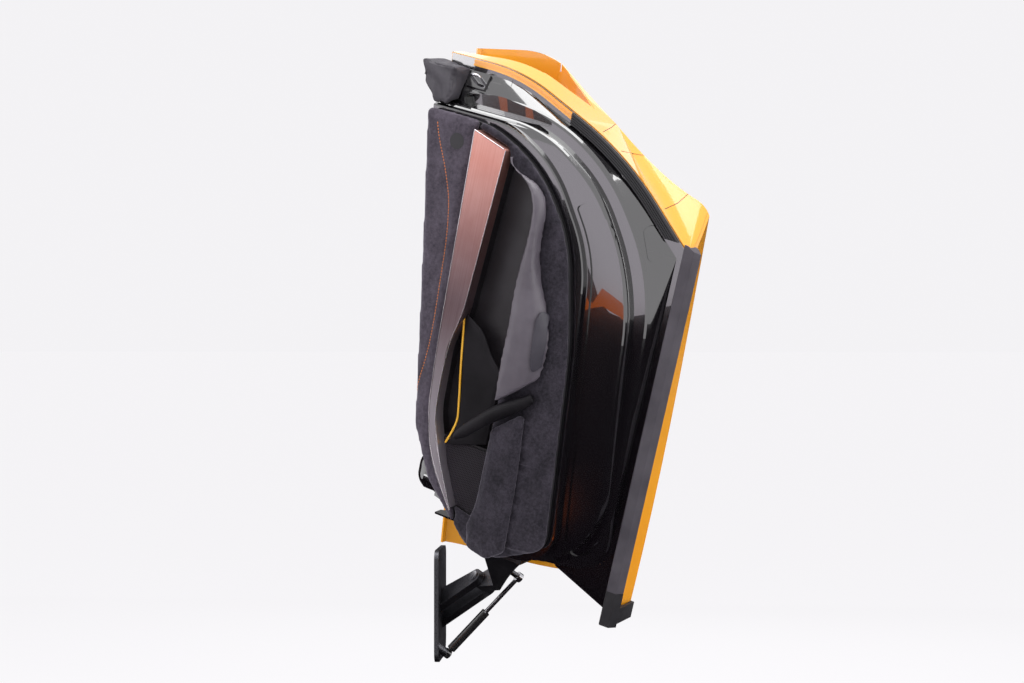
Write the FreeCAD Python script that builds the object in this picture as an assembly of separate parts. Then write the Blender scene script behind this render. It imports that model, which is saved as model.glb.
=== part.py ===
"""Right-hand upward-opening (dihedral) door of a mid-engined open supercar, stored open.

Every piece is drawn with the door shut, in the car's own directions, and the door's pieces are then
turned up about the inclined hinge. Millimetres. +X is outboard, +Y is forward and +Z is up.
The origin is the middle of the hinge bracket's bolted face, on the side of the cabin tub.
"""
import FreeCAD, Part
import math
import os

os.makedirs("parts", exist_ok=True)
V = FreeCAD.Vector

# Clearances
SEAT = 0.3                  # between pieces that meet on a curved face
FIT = 0.05                  # round a turning pin or a sliding rod

# Hinge: its pin leans inboard, rearward and up, which is what swings the door up and out
PIN_X, PIN_Y, PIN_Z = 110.0, -60.0, 0.0
AXIS_TURN = 37.0            # degrees from inboard towards the rear
AXIS_RISE = 34.0            # degrees above level
OPEN_ANGLE = 92.0
PIN_R = 7.0
PIN_HEAD_R, PIN_HEAD_T = 11.0, 4.0
KNUCKLE_R = 18.0
HUB_HALF = 11.0             # half length of the door's knuckle, along the pin
KNUCKLE_GAP = 1.0
SIDE_KNUCKLE = 16.0

# Hinge bracket on the tub
PLATE_T = 10.0
PLATE_HALF_Y = 72.0
PLATE_TOP_Z = 70.0
BOLT_SPACING_Y, BOLT_SPACING_Z = 100.0, 96.0
BOLT_HOLE_R = 5.5
LUG_DEG = -53.0             # direction of the knuckle lugs, from down the slope
LUG_ROOT_HALF = 30.0

# Gas strut, in a plane square to the hinge pin. Its foot stands off the plate, below the pin.
# The head's angle is from down the slope, door shut
STRUT_FOOT_OUT, STRUT_FOOT_DROP = 16.5, 164.8
STRUT_SEAT_MARGIN = 33.0    # plate below the foot's stud
STRUT_HEAD_R, STRUT_HEAD_DEG = 70.0, 38.0
STRUT_PLANE = -44.0
STRUT_TUBE_R, STRUT_BORE_R, STRUT_ROD_R = 10.0, 6.0, 5.0
STRUT_TUBE_END = 132.0
STRUT_GLAND = 8.0
STRUT_PISTON_T, STRUT_PISTON_BACK = 6.0, 9.0
EYE_R, STUD_R, EYE_W = 11.0, 6.5, 11.0
STUD_PROUD = 1.5            # a stud's end past the outer face of its eye

# Hinge arm
ARM_DEG = 10.0
ARM_START_R, ARM_HALF_W = 62.0, 20.0
FOOT_X_LOW, FOOT_X_HIGH = -40.0, 20.0
FOOT_Z_LOW, FOOT_Z_TOP = -155.0, -40.0
FOOT_T = 10.0

# Levels across the door, inboard to outboard
STRIP_FACE_X = -88.0
CARD_FACE_X = -75.0
CARRIER_FACE_X = -57.0
FRAME_FACE_X = -48.0
FLANGE_X = 20.0
FLANGE_T = 6.0
FRAME_WALL = 7.0
SKIN_T = 4.0
GLASS_X, GLASS_T = -18.0, 4.0
BELT_X = 56.0                # top of the air channel's wall

# Belt line seen from the side: it falls towards the front, then drops past the windscreen pillar
BELT_REAR = (-1300.0, 308.0)
BELT_NOTCH = (-420.0, 153.0)
BELT_BEND = (-312.0, 95.0)
BELT_NOSE = (-203.0, -24.0)
BELT_END = (-150.0, -90.0)
FRAME_DROP = 5.0            # frame's top edge below the belt line

# Outlines of the pressed inner frame, seen from the side, each open at the top.
# Corners are y, z, radius: knee, hip, heel and toe, rear to front
REAR_Y = -1207.0
FRONT_Y = -205.0
SILL_HEEL_Y, SILL_Z = -930.0, -350.0
FLANGE_LINE = [(REAR_Y, 110.0, 400.0), (-1095.0, -165.0, 700.0), (SILL_HEEL_Y, SILL_Z, 12.0),
               (FRONT_Y, SILL_Z, 130.0)]
OUTER_RIDGE = [(-1140.0, 4.0, 370.0), (-1052.0, -157.0, 400.0), (-858.0, -306.0, 420.0),
               (FRONT_Y, -326.0, 165.0)]
INNER_RIDGE = [(-1107.0, 5.0, 280.0), (-1019.0, -141.0, 320.0), (-845.0, -264.0, 450.0),
               (FRONT_Y, -318.0, 175.0)]
MOUTH_LINE = [(-1101.0, 73.0, 200.0), (-1046.0, -42.0, 280.0), (-880.0, -158.0, 300.0),
              (FRONT_Y, -236.0, 90.0)]
LAND_W = 24.0               # flat land of the flange, under its hem and weatherstrip
# Terraces, flange first. Columns: outline, distance inside it, level x
TERRACES = [
    (FLANGE_LINE, 0.0, FLANGE_X + FLANGE_T),
    (FLANGE_LINE, 0.0, FLANGE_X),
    (FLANGE_LINE, LAND_W, FLANGE_X - 1.0),
    (OUTER_RIDGE, -4.0, -3.0),
    (OUTER_RIDGE, 0.0, -6.0),
    (OUTER_RIDGE, 5.0, -7.5),
    (INNER_RIDGE, -9.0, -9.0),
    (INNER_RIDGE, -3.0, -27.0),
    (INNER_RIDGE, 0.0, -30.0),
    (INNER_RIDGE, 4.0, -31.0),
    (MOUTH_LINE, -3.0, -35.0),
    (MOUTH_LINE, 0.0, -46.0),
    (MOUTH_LINE, 3.0, FRAME_FACE_X),
]
HIGH_Z = 600.0              # outlines run past the belt line and are cut back to it

# Sunk areas of the frame, seen from the side. Corners are y, z, radius
ARCH = [(-972.0, -106.0, 8.0), (-992.0, -132.0, 22.0), (-952.0, -196.0, 60.0), (-830.0, -251.0, 200.0),
        (-600.0, -272.0, 600.0), (-262.0, -296.0, 36.0), (-238.0, -247.0, 16.0), (-882.0, -169.0, 300.0)]
ARCH_DEPTH = 4.5
TRIANGLE = [(-1003.0, -226.0, 14.0), (-950.0, -297.0, 10.0), (-868.0, -290.0, 12.0)]
TRIANGLE_DEPTH = 2.0
LATCH_OVAL = [(-1201.0, 225.0, 9.0), (-1169.0, 225.0, 9.0), (-1169.0, 142.0, 9.0), (-1201.0, 142.0, 9.0)]
TEARDROP = [(-1186.0, 130.0, 3.0), (-1168.0, 126.0, 3.0), (-1170.0, 94.0, 2.5)]
LATCH_SINK = 1.5

# Outer skin sections across the car. Columns: station y, shoulder x, shoulder z, crease x, crease z,
# waist x, waist z, lip x, lip z, channel floor x, channel floor z
STATIONS = [
    (-1290.0, 152.0, 309.0, 188.0, 121.0, 124.0, -140.0, 128.0, -318.0, 98.0, -40.0),
    (-1000.0, 150.0, 262.0, 186.0, 84.0, 106.0, -180.0, 127.0, -331.0, 108.0, 10.0),
    (-700.0, 143.0, 212.0, 176.0, 50.0, 94.0, -205.0, 125.0, -346.0, 100.0, 66.0),
    (-400.0, 128.0, 162.0, 158.0, 20.0, 88.0, -220.0, 121.0, -356.0, 92.0, 88.0),
    (-60.0, 102.0, 106.0, 126.0, -16.0, 84.0, -232.0, 113.0, -357.0, 78.0, 76.0),
]
ROOT_X, ROOT_Z = 46.0, -351.0
PANEL_GAP = 3.0
HEM = 16.0
WING_BULGE = 13.0

# Side-view edges of the outer body, at the flange and at the skins. Corners are y, z, radius
FLANGE_EDGE_X, SKIN_EDGE_X = FLANGE_X + FLANGE_T + SEAT, 125.0
FLANGE_LAP = 1.5            # the skins' rear edge stands this far past the flange
FLANGE_EDGE = [(y - FLANGE_LAP, z - FLANGE_LAP / 2, r) for y, z, r in FLANGE_LINE[:3]]
SKIN_EDGE = [(-1244.0, 150.0, 200.0), (-1136.0, -82.0, 600.0), (-1014.0, -343.0, 90.0)]
FLANGE_TOP_REAR_Y, SKIN_TOP_REAR_Y = REAR_Y - FLANGE_LAP, -1160.0
SKIN_FRONT_SILL_Y = -112.0
FLANGE_FRONT_SILL_Z, SKIN_FRONT_SILL_Z = -353.0, -369.0
SKIN_FRONT_MID = (-176.0, -215.0)
SKIN_FRONT_TOP = (-120.0, 40.0)
RETURN_T = 4.0
RETURN_FRONT_Y = -880.0

# Trim, seen from the side. Corners are y, z, radius
TRIM = [(-1098, 272, 14), (-1098, 114, 240), (-1038, -24, 320), (-903, -122, 340), (-691, -173, 1000),
        (-252, -217, 45), (-194, -104, 25), (-203, -24, 20), (-312, 95, 30), (-420, 153, 60)]
TRIM_EDGE_R = 8.0
CARRIER_INSET = 6.0
STRIP = [(-1078, 135, 4), (-772, 127, 3000), (-478, 117, 250), (-360, 84, 250), (-262, 10, 1.5),
         (-352, 55, 200), (-465, 97, 200), (-615, 99, 120), (-690, 76, 150), (-1054, 52, 4)]
RECESS = [(-1034, 56, 6), (-972, -32, 50), (-896, -48, 200), (-632, -39, 500), (-520, -33, 100),
          (-268, -30, 4), (-278, 16, 3), (-356, 66, 150), (-465, 101, 150), (-612, 103, 120), (-690, 80, 150)]
RECESS_FRONT_Y = -416.0     # the pocket is behind this, the speaker in front
RECESS_FLOOR_X = -30.0
LINER_T = 3.0
UPPER_SEAM = [(-1200, 138, 0), (-1078, 138, 0), (-772, 130, 0), (-477, 120, 0), (-358, 87, 0),
              (-261, 13, 0), (-100, 13, 0)]
LOWER_SEAM = [(-1200, 135, 0), (-1077, 135, 0), (-1066, 95, 0), (-766, 95, 0), (-480, 107, 0),
              (-358, 72, 0), (-261, 10, 0), (-100, 10, 0)]
STRIP_GAP = 1.0
# Armrest sections, apex first. Columns: y, crest x, seam z, crest z, brink z
ARMREST = [
    (-1046.0, -82.0, 36.0, 41.0, 47.0),
    (-1010.0, -90.0, -18.0, -8.0, 6.0),
    (-971.0, -103.0, -62.0, -50.0, -34.0),
    (-906.0, -110.0, -68.0, -61.0, -46.0),
    (-847.0, -112.0, -76.0, -72.0, -42.0),
    (-775.0, -113.0, -106.0, -86.0, -40.0),
    (-700.0, -113.0, -132.0, -97.0, -42.0),
    (-626.0, -111.0, -132.0, -105.0, -41.0),
    (-560.0, -107.0, -118.0, -104.0, -42.0),
    (-508.0, -103.0, -108.0, -98.0, -43.0),
]
ARMREST_FRONT = [(-612, -150, 0), (-610, -128, 8), (-530, -38, 8), (-530, 60, 0), (-480, 60, 0),
                 (-480, -150, 0)]
ARMREST_CROWN = 5.0
BOLSTER = [(-536, -113, 10), (-412, -125, 600), (-222, -133, 16), (-194, -92, 16), (-205, -40, 16),
           (-256, -29, 14), (-313, -41, 100), (-474, -41, 14)]
BOLSTER_FACE_X, BOLSTER_EDGE_R = -95.0, 9.0
POCKET_FLAP = [(-700, 88, 6), (-668, 30, 60), (-622, -2, 60), (-575, -50, 8), (-440, -60, 8),
               (-398, 72, 8), (-452, 50, 40), (-551, 62, 200)]
FLAP_X, FLAP_T = -70.0, 3.5
LOZENGE = [(-760, -108, 4), (-746, -120, 7), (-690, -130, 60), (-640, -131, 7), (-622, -119, 5),
           (-646, -111, 7), (-735, -104, 7)]
LOZENGE_T = 1.6
DISC_Y, DISC_Z, DISC_R, DISC_T = -1042.0, 178.0, 17.0, 1.2
GRILLE_T = 3.0

# Pull handle stations. Columns: x, y, z, half width, half thickness
HANDLE = [
    (-83.3, -571.0, -124.0, 12.0, 8.0),
    (-88.5, -545.0, -94.0, 17.0, 11.0),
    (-98.0, -505.0, -41.0, 17.0, 12.0),
    (-109.0, -470.0, -6.0, 15.0, 11.0),
    (-115.0, -447.0, 16.0, 11.0, 9.0),
    (-116.0, -438.0, 25.0, 5.0, 4.0),
]

# Rubber along the sill, x and z round its section, and its end caps
SILL_SECTION = [(12.0, -341.0), (18.7, -337.0), (18.7, -350.3), (45.7, -351.3), (45.7, -357.0),
                (32.0, -372.0), (14.0, -362.0)]
SILL_REAR_Y, SILL_FRONT_Y = -926.0, -192.0
SILL_CAP_REAR_Y, SILL_CAP_FRONT_Y = -952.0, -114.0
SILL_LIP = [(45.7, -351.6), (84.0, -358.8), (116.0, -357.8), (116.0, -366.0), (45.7, -364.0)]
SILL_LIP_REAR_Y = -150.0

# Side glass, wound down. Its top edge follows the belt; the lower corners are y, z, radius
GLASS_LOW = [(-1085.0, 60.0, 40.0), (-970.0, -70.0, 60.0), (-436.0, -90.0, 60.0)]
GLASS_DROP = 10.0

# Belt seals and weatherstrip
BELT_SEAL_REAR_Y = -1088.0
SEAL_DEPTH = 9.0
WEATHERSTRIP_H, WEATHERSTRIP_BASE = 6.0, 2.5
WEATHERSTRIP_RIBS, RIB_W, RIB_PITCH = 5, 3.2, 4.4
WEATHERSTRIP_TOP_Z = -28.0
HEM_INSET, HEM_W, HEM_H = 1.0, 14.0, 3.0
HEM_TOP_Z = 227.0
SLOT = [(-1134, 226, 11), (-1147, 137, 150), (-1137, 46, 60), (-1122, 0, 7), (-1111, 4, 4), (-1111, 214, 9)]
SLOT_FLOOR_X, SLOT_WALL = 12.0, 3.0

# Door mirror
MIRROR_AXIS_X, MIRROR_AXIS_Y = 148.0, -233.0
MIRROR_JOINT_Z = 183.0
MIRROR_POST_R = 8.0
# Columns: x, rear y, front y, low z, top z, corner radius
MIRROR_SECTIONS = [
    (178.0, -251.0, -199.0, 197.0, 237.0, 18.0),
    (204.0, -267.0, -185.0, 183.0, 273.0, 32.0),
    (290.0, -271.0, -175.0, 183.0, 289.0, 38.0),
    (362.0, -267.0, -199.0, 199.0, 277.0, 28.0),
]
MIRROR_POCKET = (202.0, 352.0, 199.0, 273.0)
MIRROR_POCKET_Y = -253.0
MIRROR_GLASS_T = 3.0

# Latch, on the slope inside the flange's land
LATCH_Z = 201.0
LATCH_PLATE_L, LATCH_PLATE_T, LATCH_PLATE_H = 38.0, 5.0, 44.0
LATCH_ROD_R = 3.5
LATCH_HALF, LATCH_REACH = 11.0, 14.0


def axis_vector():
    turn, rise = math.radians(AXIS_TURN), math.radians(AXIS_RISE)
    return V(-math.cos(rise) * math.cos(turn), -math.cos(rise) * math.sin(turn), math.sin(rise))


AXIS = axis_vector()
PIN = V(PIN_X, PIN_Y, PIN_Z)
DOOR_OPEN = FreeCAD.Placement(V(0, 0, 0), FreeCAD.Rotation(AXIS, OPEN_ANGLE), PIN)
BODY = FreeCAD.Placement()
DOWN_SLOPE = V(0, 0, -1) - AXIS * V(0, 0, -1).dot(AXIS)
DOWN_SLOPE.normalize()
ACROSS = AXIS.cross(DOWN_SLOPE)


def hinge_point(radius, degrees, along):
    """A point round the hinge pin: angle from down the slope, positive the way the door opens."""
    turn = math.radians(degrees)
    return PIN + DOWN_SLOPE * (radius * math.cos(turn)) + ACROSS * (radius * math.sin(turn)) + AXIS * along


def hinge_cylinder(radius, degrees, round_r, low, high):
    """Cylinder parallel to the hinge pin, from low to high along it."""
    return Part.makeCylinder(round_r, high - low, hinge_point(radius, degrees, low), AXIS)


def strut_foot():
    """Middle of the strut's lower eye, in the strut's plane at its stated place off the plate."""
    x, z = PLATE_T + STRUT_FOOT_OUT, PIN_Z - STRUT_FOOT_DROP
    from_pin = STRUT_PLANE - AXIS.x * (x - PIN.x) - AXIS.z * (z - PIN.z)
    return V(x, PIN.y + from_pin / AXIS.y, z)


def lug_reach(outer):
    """Length that takes both corners of a lug's root into the plate."""
    way = hinge_point(1.0, LUG_DEG, 0.0) - PIN
    aside = AXIS.cross(way)
    run = PIN_X - PLATE_T / 2 + outer * abs(AXIS.x) + LUG_ROOT_HALF * abs(aside.x)
    return run / -way.x


def hinge_web(round_r, reach, half_w, degrees, low, high):
    """Plate square to the hinge pin that widens from the knuckle out to half_w at reach."""
    spread = math.degrees(math.atan2(half_w, reach))
    far_r = math.hypot(reach, half_w)
    corners = [(round_r, degrees + 90), (far_r, degrees + spread), (far_r, degrees - spread),
               (round_r, degrees - 90)]
    points = [hinge_point(radius, turn, low) for radius, turn in corners]
    return Part.Face(Part.makePolygon(points + [points[0]])).extrude(AXIS * (high - low))


def save(name, shape, pose=DOOR_OPEN):
    """Writes one node, with the door's pieces turned to the open pose."""
    placed = shape.copy()
    placed.Placement = pose.multiply(placed.Placement)
    solids = placed.Solids
    whole = solids[0] if len(solids) == 1 else Part.makeCompound(solids)
    whole.exportStep(f"parts/{name}.step")
    print(f"{name:20s} {len(solids)} solid {whole.Volume / 1e3:9.1f} cm3 {len(whole.Faces):4d} faces "
          f"{'' if shape.isValid() and solids else 'INVALID'}")


def rounded_wire(corners, place):
    """Closed wire through flat corners (a, b, radius). place turns (a, b) into a point."""
    count = len(corners)
    starts, ends, middles = [], [], []
    for i, (a, b, radius) in enumerate(corners):
        here = V(a, b, 0)
        before = V(corners[i - 1][0], corners[i - 1][1], 0) - here
        after = V(corners[(i + 1) % count][0], corners[(i + 1) % count][1], 0) - here
        before.normalize()
        after.normalize()
        half = before.getAngle(after) / 2
        middle_way = before + after
        middle_way.normalize()
        centre = here + middle_way * (radius / math.sin(half))
        starts.append(here + before * (radius / math.tan(half)))
        ends.append(here + after * (radius / math.tan(half)))
        middles.append(centre - middle_way * radius)
    edges = []
    for i, (_, _, radius) in enumerate(corners):
        if radius:
            turn = [place(spot.x, spot.y) for spot in (starts[i], middles[i], ends[i])]
            edges.append(Part.Arc(*turn).toShape())
        run = (ends[i], starts[(i + 1) % count])
        edges.append(Part.LineSegment(*[place(spot.x, spot.y) for spot in run]).toShape())
    return Part.Wire(edges)


def side_wire(corners, x):
    """Closed wire seen from the side of the car, in the plane X = x. Corners are (y, z, radius)."""
    return rounded_wire(corners, lambda y, z: V(x, y, z))


def side_plate(corners, x_low, x_high, grow=0.0):
    """Flat plate seen from the side, its outline grown or shrunk by grow."""
    face = Part.Face(side_wire(corners, x_low))
    if grow:
        face = face.makeOffset2D(grow)
    return face.extrude(V(x_high - x_low, 0, 0))


def side_pad(corners, x_face, x_back, edge_r):
    """A plate seen from the side whose inboard edges are rounded over."""
    plate = side_plate(corners, x_face, x_back)
    front = [e for e in plate.Edges if all(abs(v.X - x_face) < 0.01 for v in e.Vertexes)]
    return plate.makeFillet(edge_r, front)


def cross_plate(corners, y_low, y_high):
    """Plate square to the car's length. Corners are (x, z)."""
    points = [V(x, y_low, z) for x, z in corners]
    return Part.Face(Part.makePolygon(points + [points[0]])).extrude(V(0, y_high - y_low, 0))


def box(x_low, x_high, y_low, y_high, z_low, z_high):
    return Part.makeBox(x_high - x_low, y_high - y_low, z_high - z_low, V(x_low, y_low, z_low))


def belt_z(y):
    """Height of the belt line at y, behind the notch."""
    slope = (BELT_NOTCH[1] - BELT_REAR[1]) / (BELT_NOTCH[0] - BELT_REAR[0])
    return BELT_NOTCH[1] + slope * (y - BELT_NOTCH[0])


def under_belt(drop):
    """Block of everything lower than the belt line less drop."""
    line = [BELT_REAR, BELT_NOTCH, BELT_BEND, BELT_NOSE, BELT_END]
    corners = [(y, z - drop, 0) for y, z in line]
    corners += [(BELT_END[0] + 60, -700.0, 0), (BELT_REAR[0], -700.0, 0)]
    return side_plate(corners, -300.0, 300.0)


def meet(a, b, c, d):
    """Point where the line through a and b crosses the line through c and d. Points are (y, z)."""
    (ay, az), (by, bz), (cy, cz), (dy, dz) = a, b, c, d
    turn = (by - ay) * (dz - cz) - (bz - az) * (dy - cy)
    share = ((cy - ay) * (dz - cz) - (cz - az) * (dy - cy)) / turn
    return ay + (by - ay) * share, az + (bz - az) * share


def inside_line(outline, inset, front_inset=0.0):
    """An open outline moved inwards by inset, and its front edge by front_inset. Rounds keep centres."""
    points = [(outline[0][0], HIGH_Z)] + [(y, z) for y, z, _ in outline] + [(FRONT_Y, HIGH_Z)]
    moved = []
    for i, (a, b) in enumerate(zip(points, points[1:])):
        by = front_inset if i == len(points) - 2 else inset
        length = math.hypot(b[0] - a[0], b[1] - a[1])
        out_y, out_z = (a[1] - b[1]) / length * by, (b[0] - a[0]) / length * by
        moved.append(((a[0] + out_y, a[1] + out_z), (b[0] + out_y, b[1] + out_z)))
    corners = [(moved[0][0][0], HIGH_Z, 0)]
    for (a, b), (c, d), (_, _, radius) in zip(moved, moved[1:], outline):
        corners.append(meet(a, b, c, d) + (max(radius - inset, 5),))
    return corners + [(moved[-1][1][0], HIGH_Z, 0)]


def terrace_wire(row, wall=0.0, shift=0.0):
    outline, inset, x = row
    return side_wire(inside_line(outline, inset + wall, wall), x + shift)


def frame_block():
    """Solid envelope of the frame, also for pieces that are scribed to it."""
    return Part.makeLoft([terrace_wire(row) for row in TERRACES], True, True)


def sunk(corners, depth):
    """What comes off the frame where an area of its face is pressed in by depth."""
    lower = frame_block()
    lower.translate(V(depth, 0, 0))
    return side_plate(corners, FRAME_FACE_X - 20.0, FLANGE_X).cut(lower)


def flange_band(inset, width, x_low, x_high):
    """Band of the given width along the flange, inset from its edge."""
    outer = Part.Face(side_wire(inside_line(FLANGE_LINE, inset), x_low))
    inner = Part.Face(side_wire(inside_line(FLANGE_LINE, inset + width), x_low))
    run = V(x_high - x_low, 0, 0)
    return outer.extrude(run).cut(inner.extrude(run))


def on_flange(bands, low_z, high_z):
    """One strip of bands laid on the flange's land, between two heights. Columns: inset, width, height."""
    foot = FLANGE_X - 1.0 - SEAT
    strip = flange_band(*bands[0][:2], foot - bands[0][2], foot)
    for inset, width, height in bands[1:]:
        strip = strip.fuse(flange_band(inset, width, foot - height, foot))
    rear = box(-100.0, 100.0, REAR_Y - 50.0, SILL_CAP_REAR_Y - SEAT, low_z, high_z)
    return strip.common(rear).cut(frame_block())


def rear_hem():
    """Painted hem with two ridges on the rear flange, above the weatherstrip."""
    ridge_w = HEM_W / 4
    return on_flange([(HEM_INSET, HEM_W, HEM_H / 2), (HEM_INSET + 1.0, ridge_w, HEM_H),
                      (HEM_INSET + HEM_W - ridge_w - 1.0, ridge_w, HEM_H)], WEATHERSTRIP_TOP_Z + SEAT, HEM_TOP_Z)


def door_frame():
    """Pressed inner structure: a tray of terraces, open to the outer side, cut back to the belt."""
    mouth = terrace_wire(TERRACES[1], FRAME_WALL, FLANGE_T + 10.0)
    rows = [terrace_wire(row, FRAME_WALL, FRAME_WALL) for row in TERRACES[1:]]
    hollow = Part.makeLoft([mouth] + rows, True, True)
    frame = frame_block().cut(hollow).common(under_belt(FRAME_DROP))
    cup = side_plate(SLOT, 0.0, SLOT_FLOOR_X + SLOT_WALL, SLOT_WALL).cut(side_plate(SLOT, -1.0, SLOT_FLOOR_X))
    areas = [sunk(ARCH, ARCH_DEPTH), sunk(TRIANGLE, TRIANGLE_DEPTH), sunk(LATCH_OVAL, LATCH_SINK),
             sunk(TEARDROP, LATCH_SINK)]
    frame = frame.cut(areas)
    return frame.cut([side_plate(SLOT, -60.0, SLOT_FLOOR_X), pocket_block(0.0)]).fuse(cup)


def pocket_block(grow, x_low=-58.0, x_high=-20.0):
    """Space of the door pocket, behind the speaker."""
    plate = side_plate(RECESS, x_low, x_high, grow)
    return plate.common(box(x_low, x_high, -1200.0, RECESS_FRONT_Y + grow, -200.0, 300.0))


def run_wire(start, steps, y):
    """Closed wire across the car at y. Steps are (end,) for a line or (middle, end) for an arc."""
    edges = []
    at = start
    for step in steps:
        points = [V(p[0], y, p[1]) for p in (at,) + step]
        edge = Part.Arc(*points) if len(step) == 2 else Part.LineSegment(*points)
        edges.append(edge.toShape())
        at = step[-1]
    return Part.Wire(edges)


def loft_across(section):
    """Smooth solid through one section at each station."""
    return Part.makeLoft([section(row) for row in STATIONS], True, False)


def edge_corners(edge, top_rear_y, front_sill_z, grow):
    """Side-view outline of the outer body, whose three rear corners come from the edge table."""
    rear = [(y + grow, z + grow / 2, r) for y, z, r in edge[:2]]
    heel = (edge[2][0] + grow / 2, edge[2][1] + grow, edge[2][2])
    front = [(SKIN_FRONT_SILL_Y, front_sill_z + grow, 0), SKIN_FRONT_MID + (0,), SKIN_FRONT_TOP + (0,),
             (SKIN_FRONT_TOP[0], HIGH_Z, 0)]
    return [(top_rear_y + grow, HIGH_Z, 0)] + rear + [heel] + front


def outer_body(grow=0.0):
    """Block that trims the outer skins: a cone from the flange's edge out to the skins' edge."""
    near_corners = edge_corners(FLANGE_EDGE, FLANGE_TOP_REAR_Y, FLANGE_FRONT_SILL_Z, grow)
    far_corners = edge_corners(SKIN_EDGE, SKIN_TOP_REAR_Y, SKIN_FRONT_SILL_Z, grow)
    near = side_wire(near_corners, FLANGE_EDGE_X)
    far = side_wire(far_corners, SKIN_EDGE_X)
    cone = Part.makeLoft([near, far], True, True)
    return cone.fuse(Part.Face(far).extrude(V(200.0, 0, 0)))


def lower_skin():
    """Lower outer skin: turned in along the sill, hollow at the waist, out to the crease."""
    def section(row):
        y, _, _, crease_x, crease_z, waist_x, waist_z, lip_x, lip_z, _, _ = row
        crease_top = crease_z - PANEL_GAP
        return run_wire((ROOT_X, ROOT_Z), [
            ((lip_x, lip_z),),
            ((waist_x, waist_z), (crease_x, crease_top)),
            ((crease_x - SKIN_T, crease_top - 1),),
            ((waist_x - SKIN_T, waist_z), (lip_x - SKIN_T, lip_z + SKIN_T)),
            ((ROOT_X, ROOT_Z + SKIN_T),),
            ((ROOT_X, ROOT_Z),)], y)
    return loft_across(section).common(outer_body())


def wing_panel():
    """Outer blade above the crease, whose hemmed top edge is the door's shoulder."""
    def section(row):
        y, shoulder_x, shoulder_z, crease_x, crease_z = row[:5]
        middle_x = (shoulder_x + crease_x) / 2 + WING_BULGE
        middle_z = (shoulder_z + crease_z) / 2 + 4.0
        return run_wire((crease_x, crease_z), [
            ((middle_x, middle_z), (shoulder_x, shoulder_z)),
            ((shoulder_x - HEM, shoulder_z + 1),),
            ((shoulder_x - HEM, shoulder_z + 1 - SKIN_T),),
            ((shoulder_x - SKIN_T, shoulder_z - SKIN_T),),
            ((middle_x - SKIN_T, middle_z), (crease_x - SKIN_T, crease_z)),
            ((crease_x, crease_z),)], y)
    return loft_across(section).common(outer_body())


def channel_middle(floor_x, floor_z, top_z):
    return (BELT_X + (floor_x - BELT_X) * 0.40, top_z + (floor_z - top_z) * 0.52)


def channel_wall():
    """Wall and floor of the air channel, from the belt down and out to the back of the crease."""
    def section(row):
        y, _, _, crease_x, crease_z = row[:5]
        floor_x, floor_z = row[-2:]
        top_z = belt_z(y)
        middle = channel_middle(floor_x, floor_z, top_z)
        edge_x = crease_x - SKIN_T - SEAT
        return run_wire((BELT_X, top_z), [
            (middle, (floor_x, floor_z)),
            ((edge_x, crease_z + 2),),
            ((edge_x, crease_z + 2 - 1.6 * SKIN_T),),
            ((floor_x, floor_z - 2 * SKIN_T),),
            ((middle[0] - SKIN_T, middle[1]), (BELT_X - SKIN_T, top_z - SKIN_T)),
            ((FLANGE_EDGE_X, top_z - SKIN_T),),
            ((FLANGE_EDGE_X, top_z),),
            ((BELT_X, top_z),)], y)
    block = box(-300.0, 300.0, REAR_Y - 1.0, SKIN_FRONT_TOP[0] - 6.0, -300.0, 600.0)
    return loft_across(section).common(block).common(under_belt(0.0)).common(outer_body(0.5))


def channel_block(outside):
    """Everything under the channel's top surface, raised by outside, for pieces that stand on it."""
    def section(row):
        y, _, _, crease_x, crease_z = row[:5]
        floor_x, floor_z = row[-2:]
        top_z = belt_z(y)
        middle = channel_middle(floor_x, floor_z, top_z)
        low_z = -300.0
        return run_wire((0.0, top_z + outside), [
            ((BELT_X + outside, top_z + outside),),
            ((middle[0] + outside, middle[1]), (floor_x + outside, floor_z + outside)),
            ((crease_x + outside, crease_z + 2 + outside),),
            ((crease_x + outside, low_z),),
            ((0.0, low_z),),
            ((0.0, top_z + outside),)], y)
    return loft_across(section)


def shoulder_block(outside):
    """Everything outboard of the wing's hem and lower than its shoulder, grown by outside."""
    def section(row):
        y, shoulder_x, shoulder_z = row[:3]
        inner_x, top_z = shoulder_x - HEM - outside, shoulder_z + 1 + outside
        far_x, low_z = 400.0, -300.0
        return run_wire((inner_x, top_z), [
            ((far_x, top_z),), ((far_x, low_z),), ((inner_x, low_z),), ((inner_x, top_z),)], y)
    return loft_across(section)


def door_cavity():
    """Closed space of the door, between the flange, the channel and the lower skin."""
    gap = SKIN_T + SEAT

    def section(row):
        y, _, _, crease_x, crease_z, waist_x, waist_z, lip_x, lip_z, floor_x, floor_z = row
        top_z = belt_z(y) - gap
        middle = channel_middle(floor_x, floor_z, belt_z(y))
        inner_x = FLANGE_X
        return run_wire((inner_x, top_z), [
            ((BELT_X - gap, top_z),),
            ((middle[0] - gap, middle[1]), (floor_x, floor_z - 2 * gap)),
            ((crease_x - gap - SEAT, crease_z - PANEL_GAP - 2.0),),
            ((waist_x - gap, waist_z), (lip_x - gap, lip_z + gap)),
            ((ROOT_X, ROOT_Z + gap),),
            ((inner_x, ROOT_Z + gap),),
            ((inner_x, top_z),)], y)
    return loft_across(section)


def rear_return():
    """Painted rear face of the door, from the flange out to the skins' rear edges."""
    ring = outer_body().cut(outer_body(RETURN_T))
    keep = box(FLANGE_EDGE_X, 300.0, -1400.0, RETURN_FRONT_Y, -500.0, 500.0)
    return ring.common(keep).common(door_cavity())


def front_end_panel():
    """Front face of the door, outboard of the frame."""
    sheet = box(FLANGE_EDGE_X, 300.0, FRONT_Y - RETURN_T, FRONT_Y, -500.0, 500.0)
    return sheet.common(door_cavity())


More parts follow.
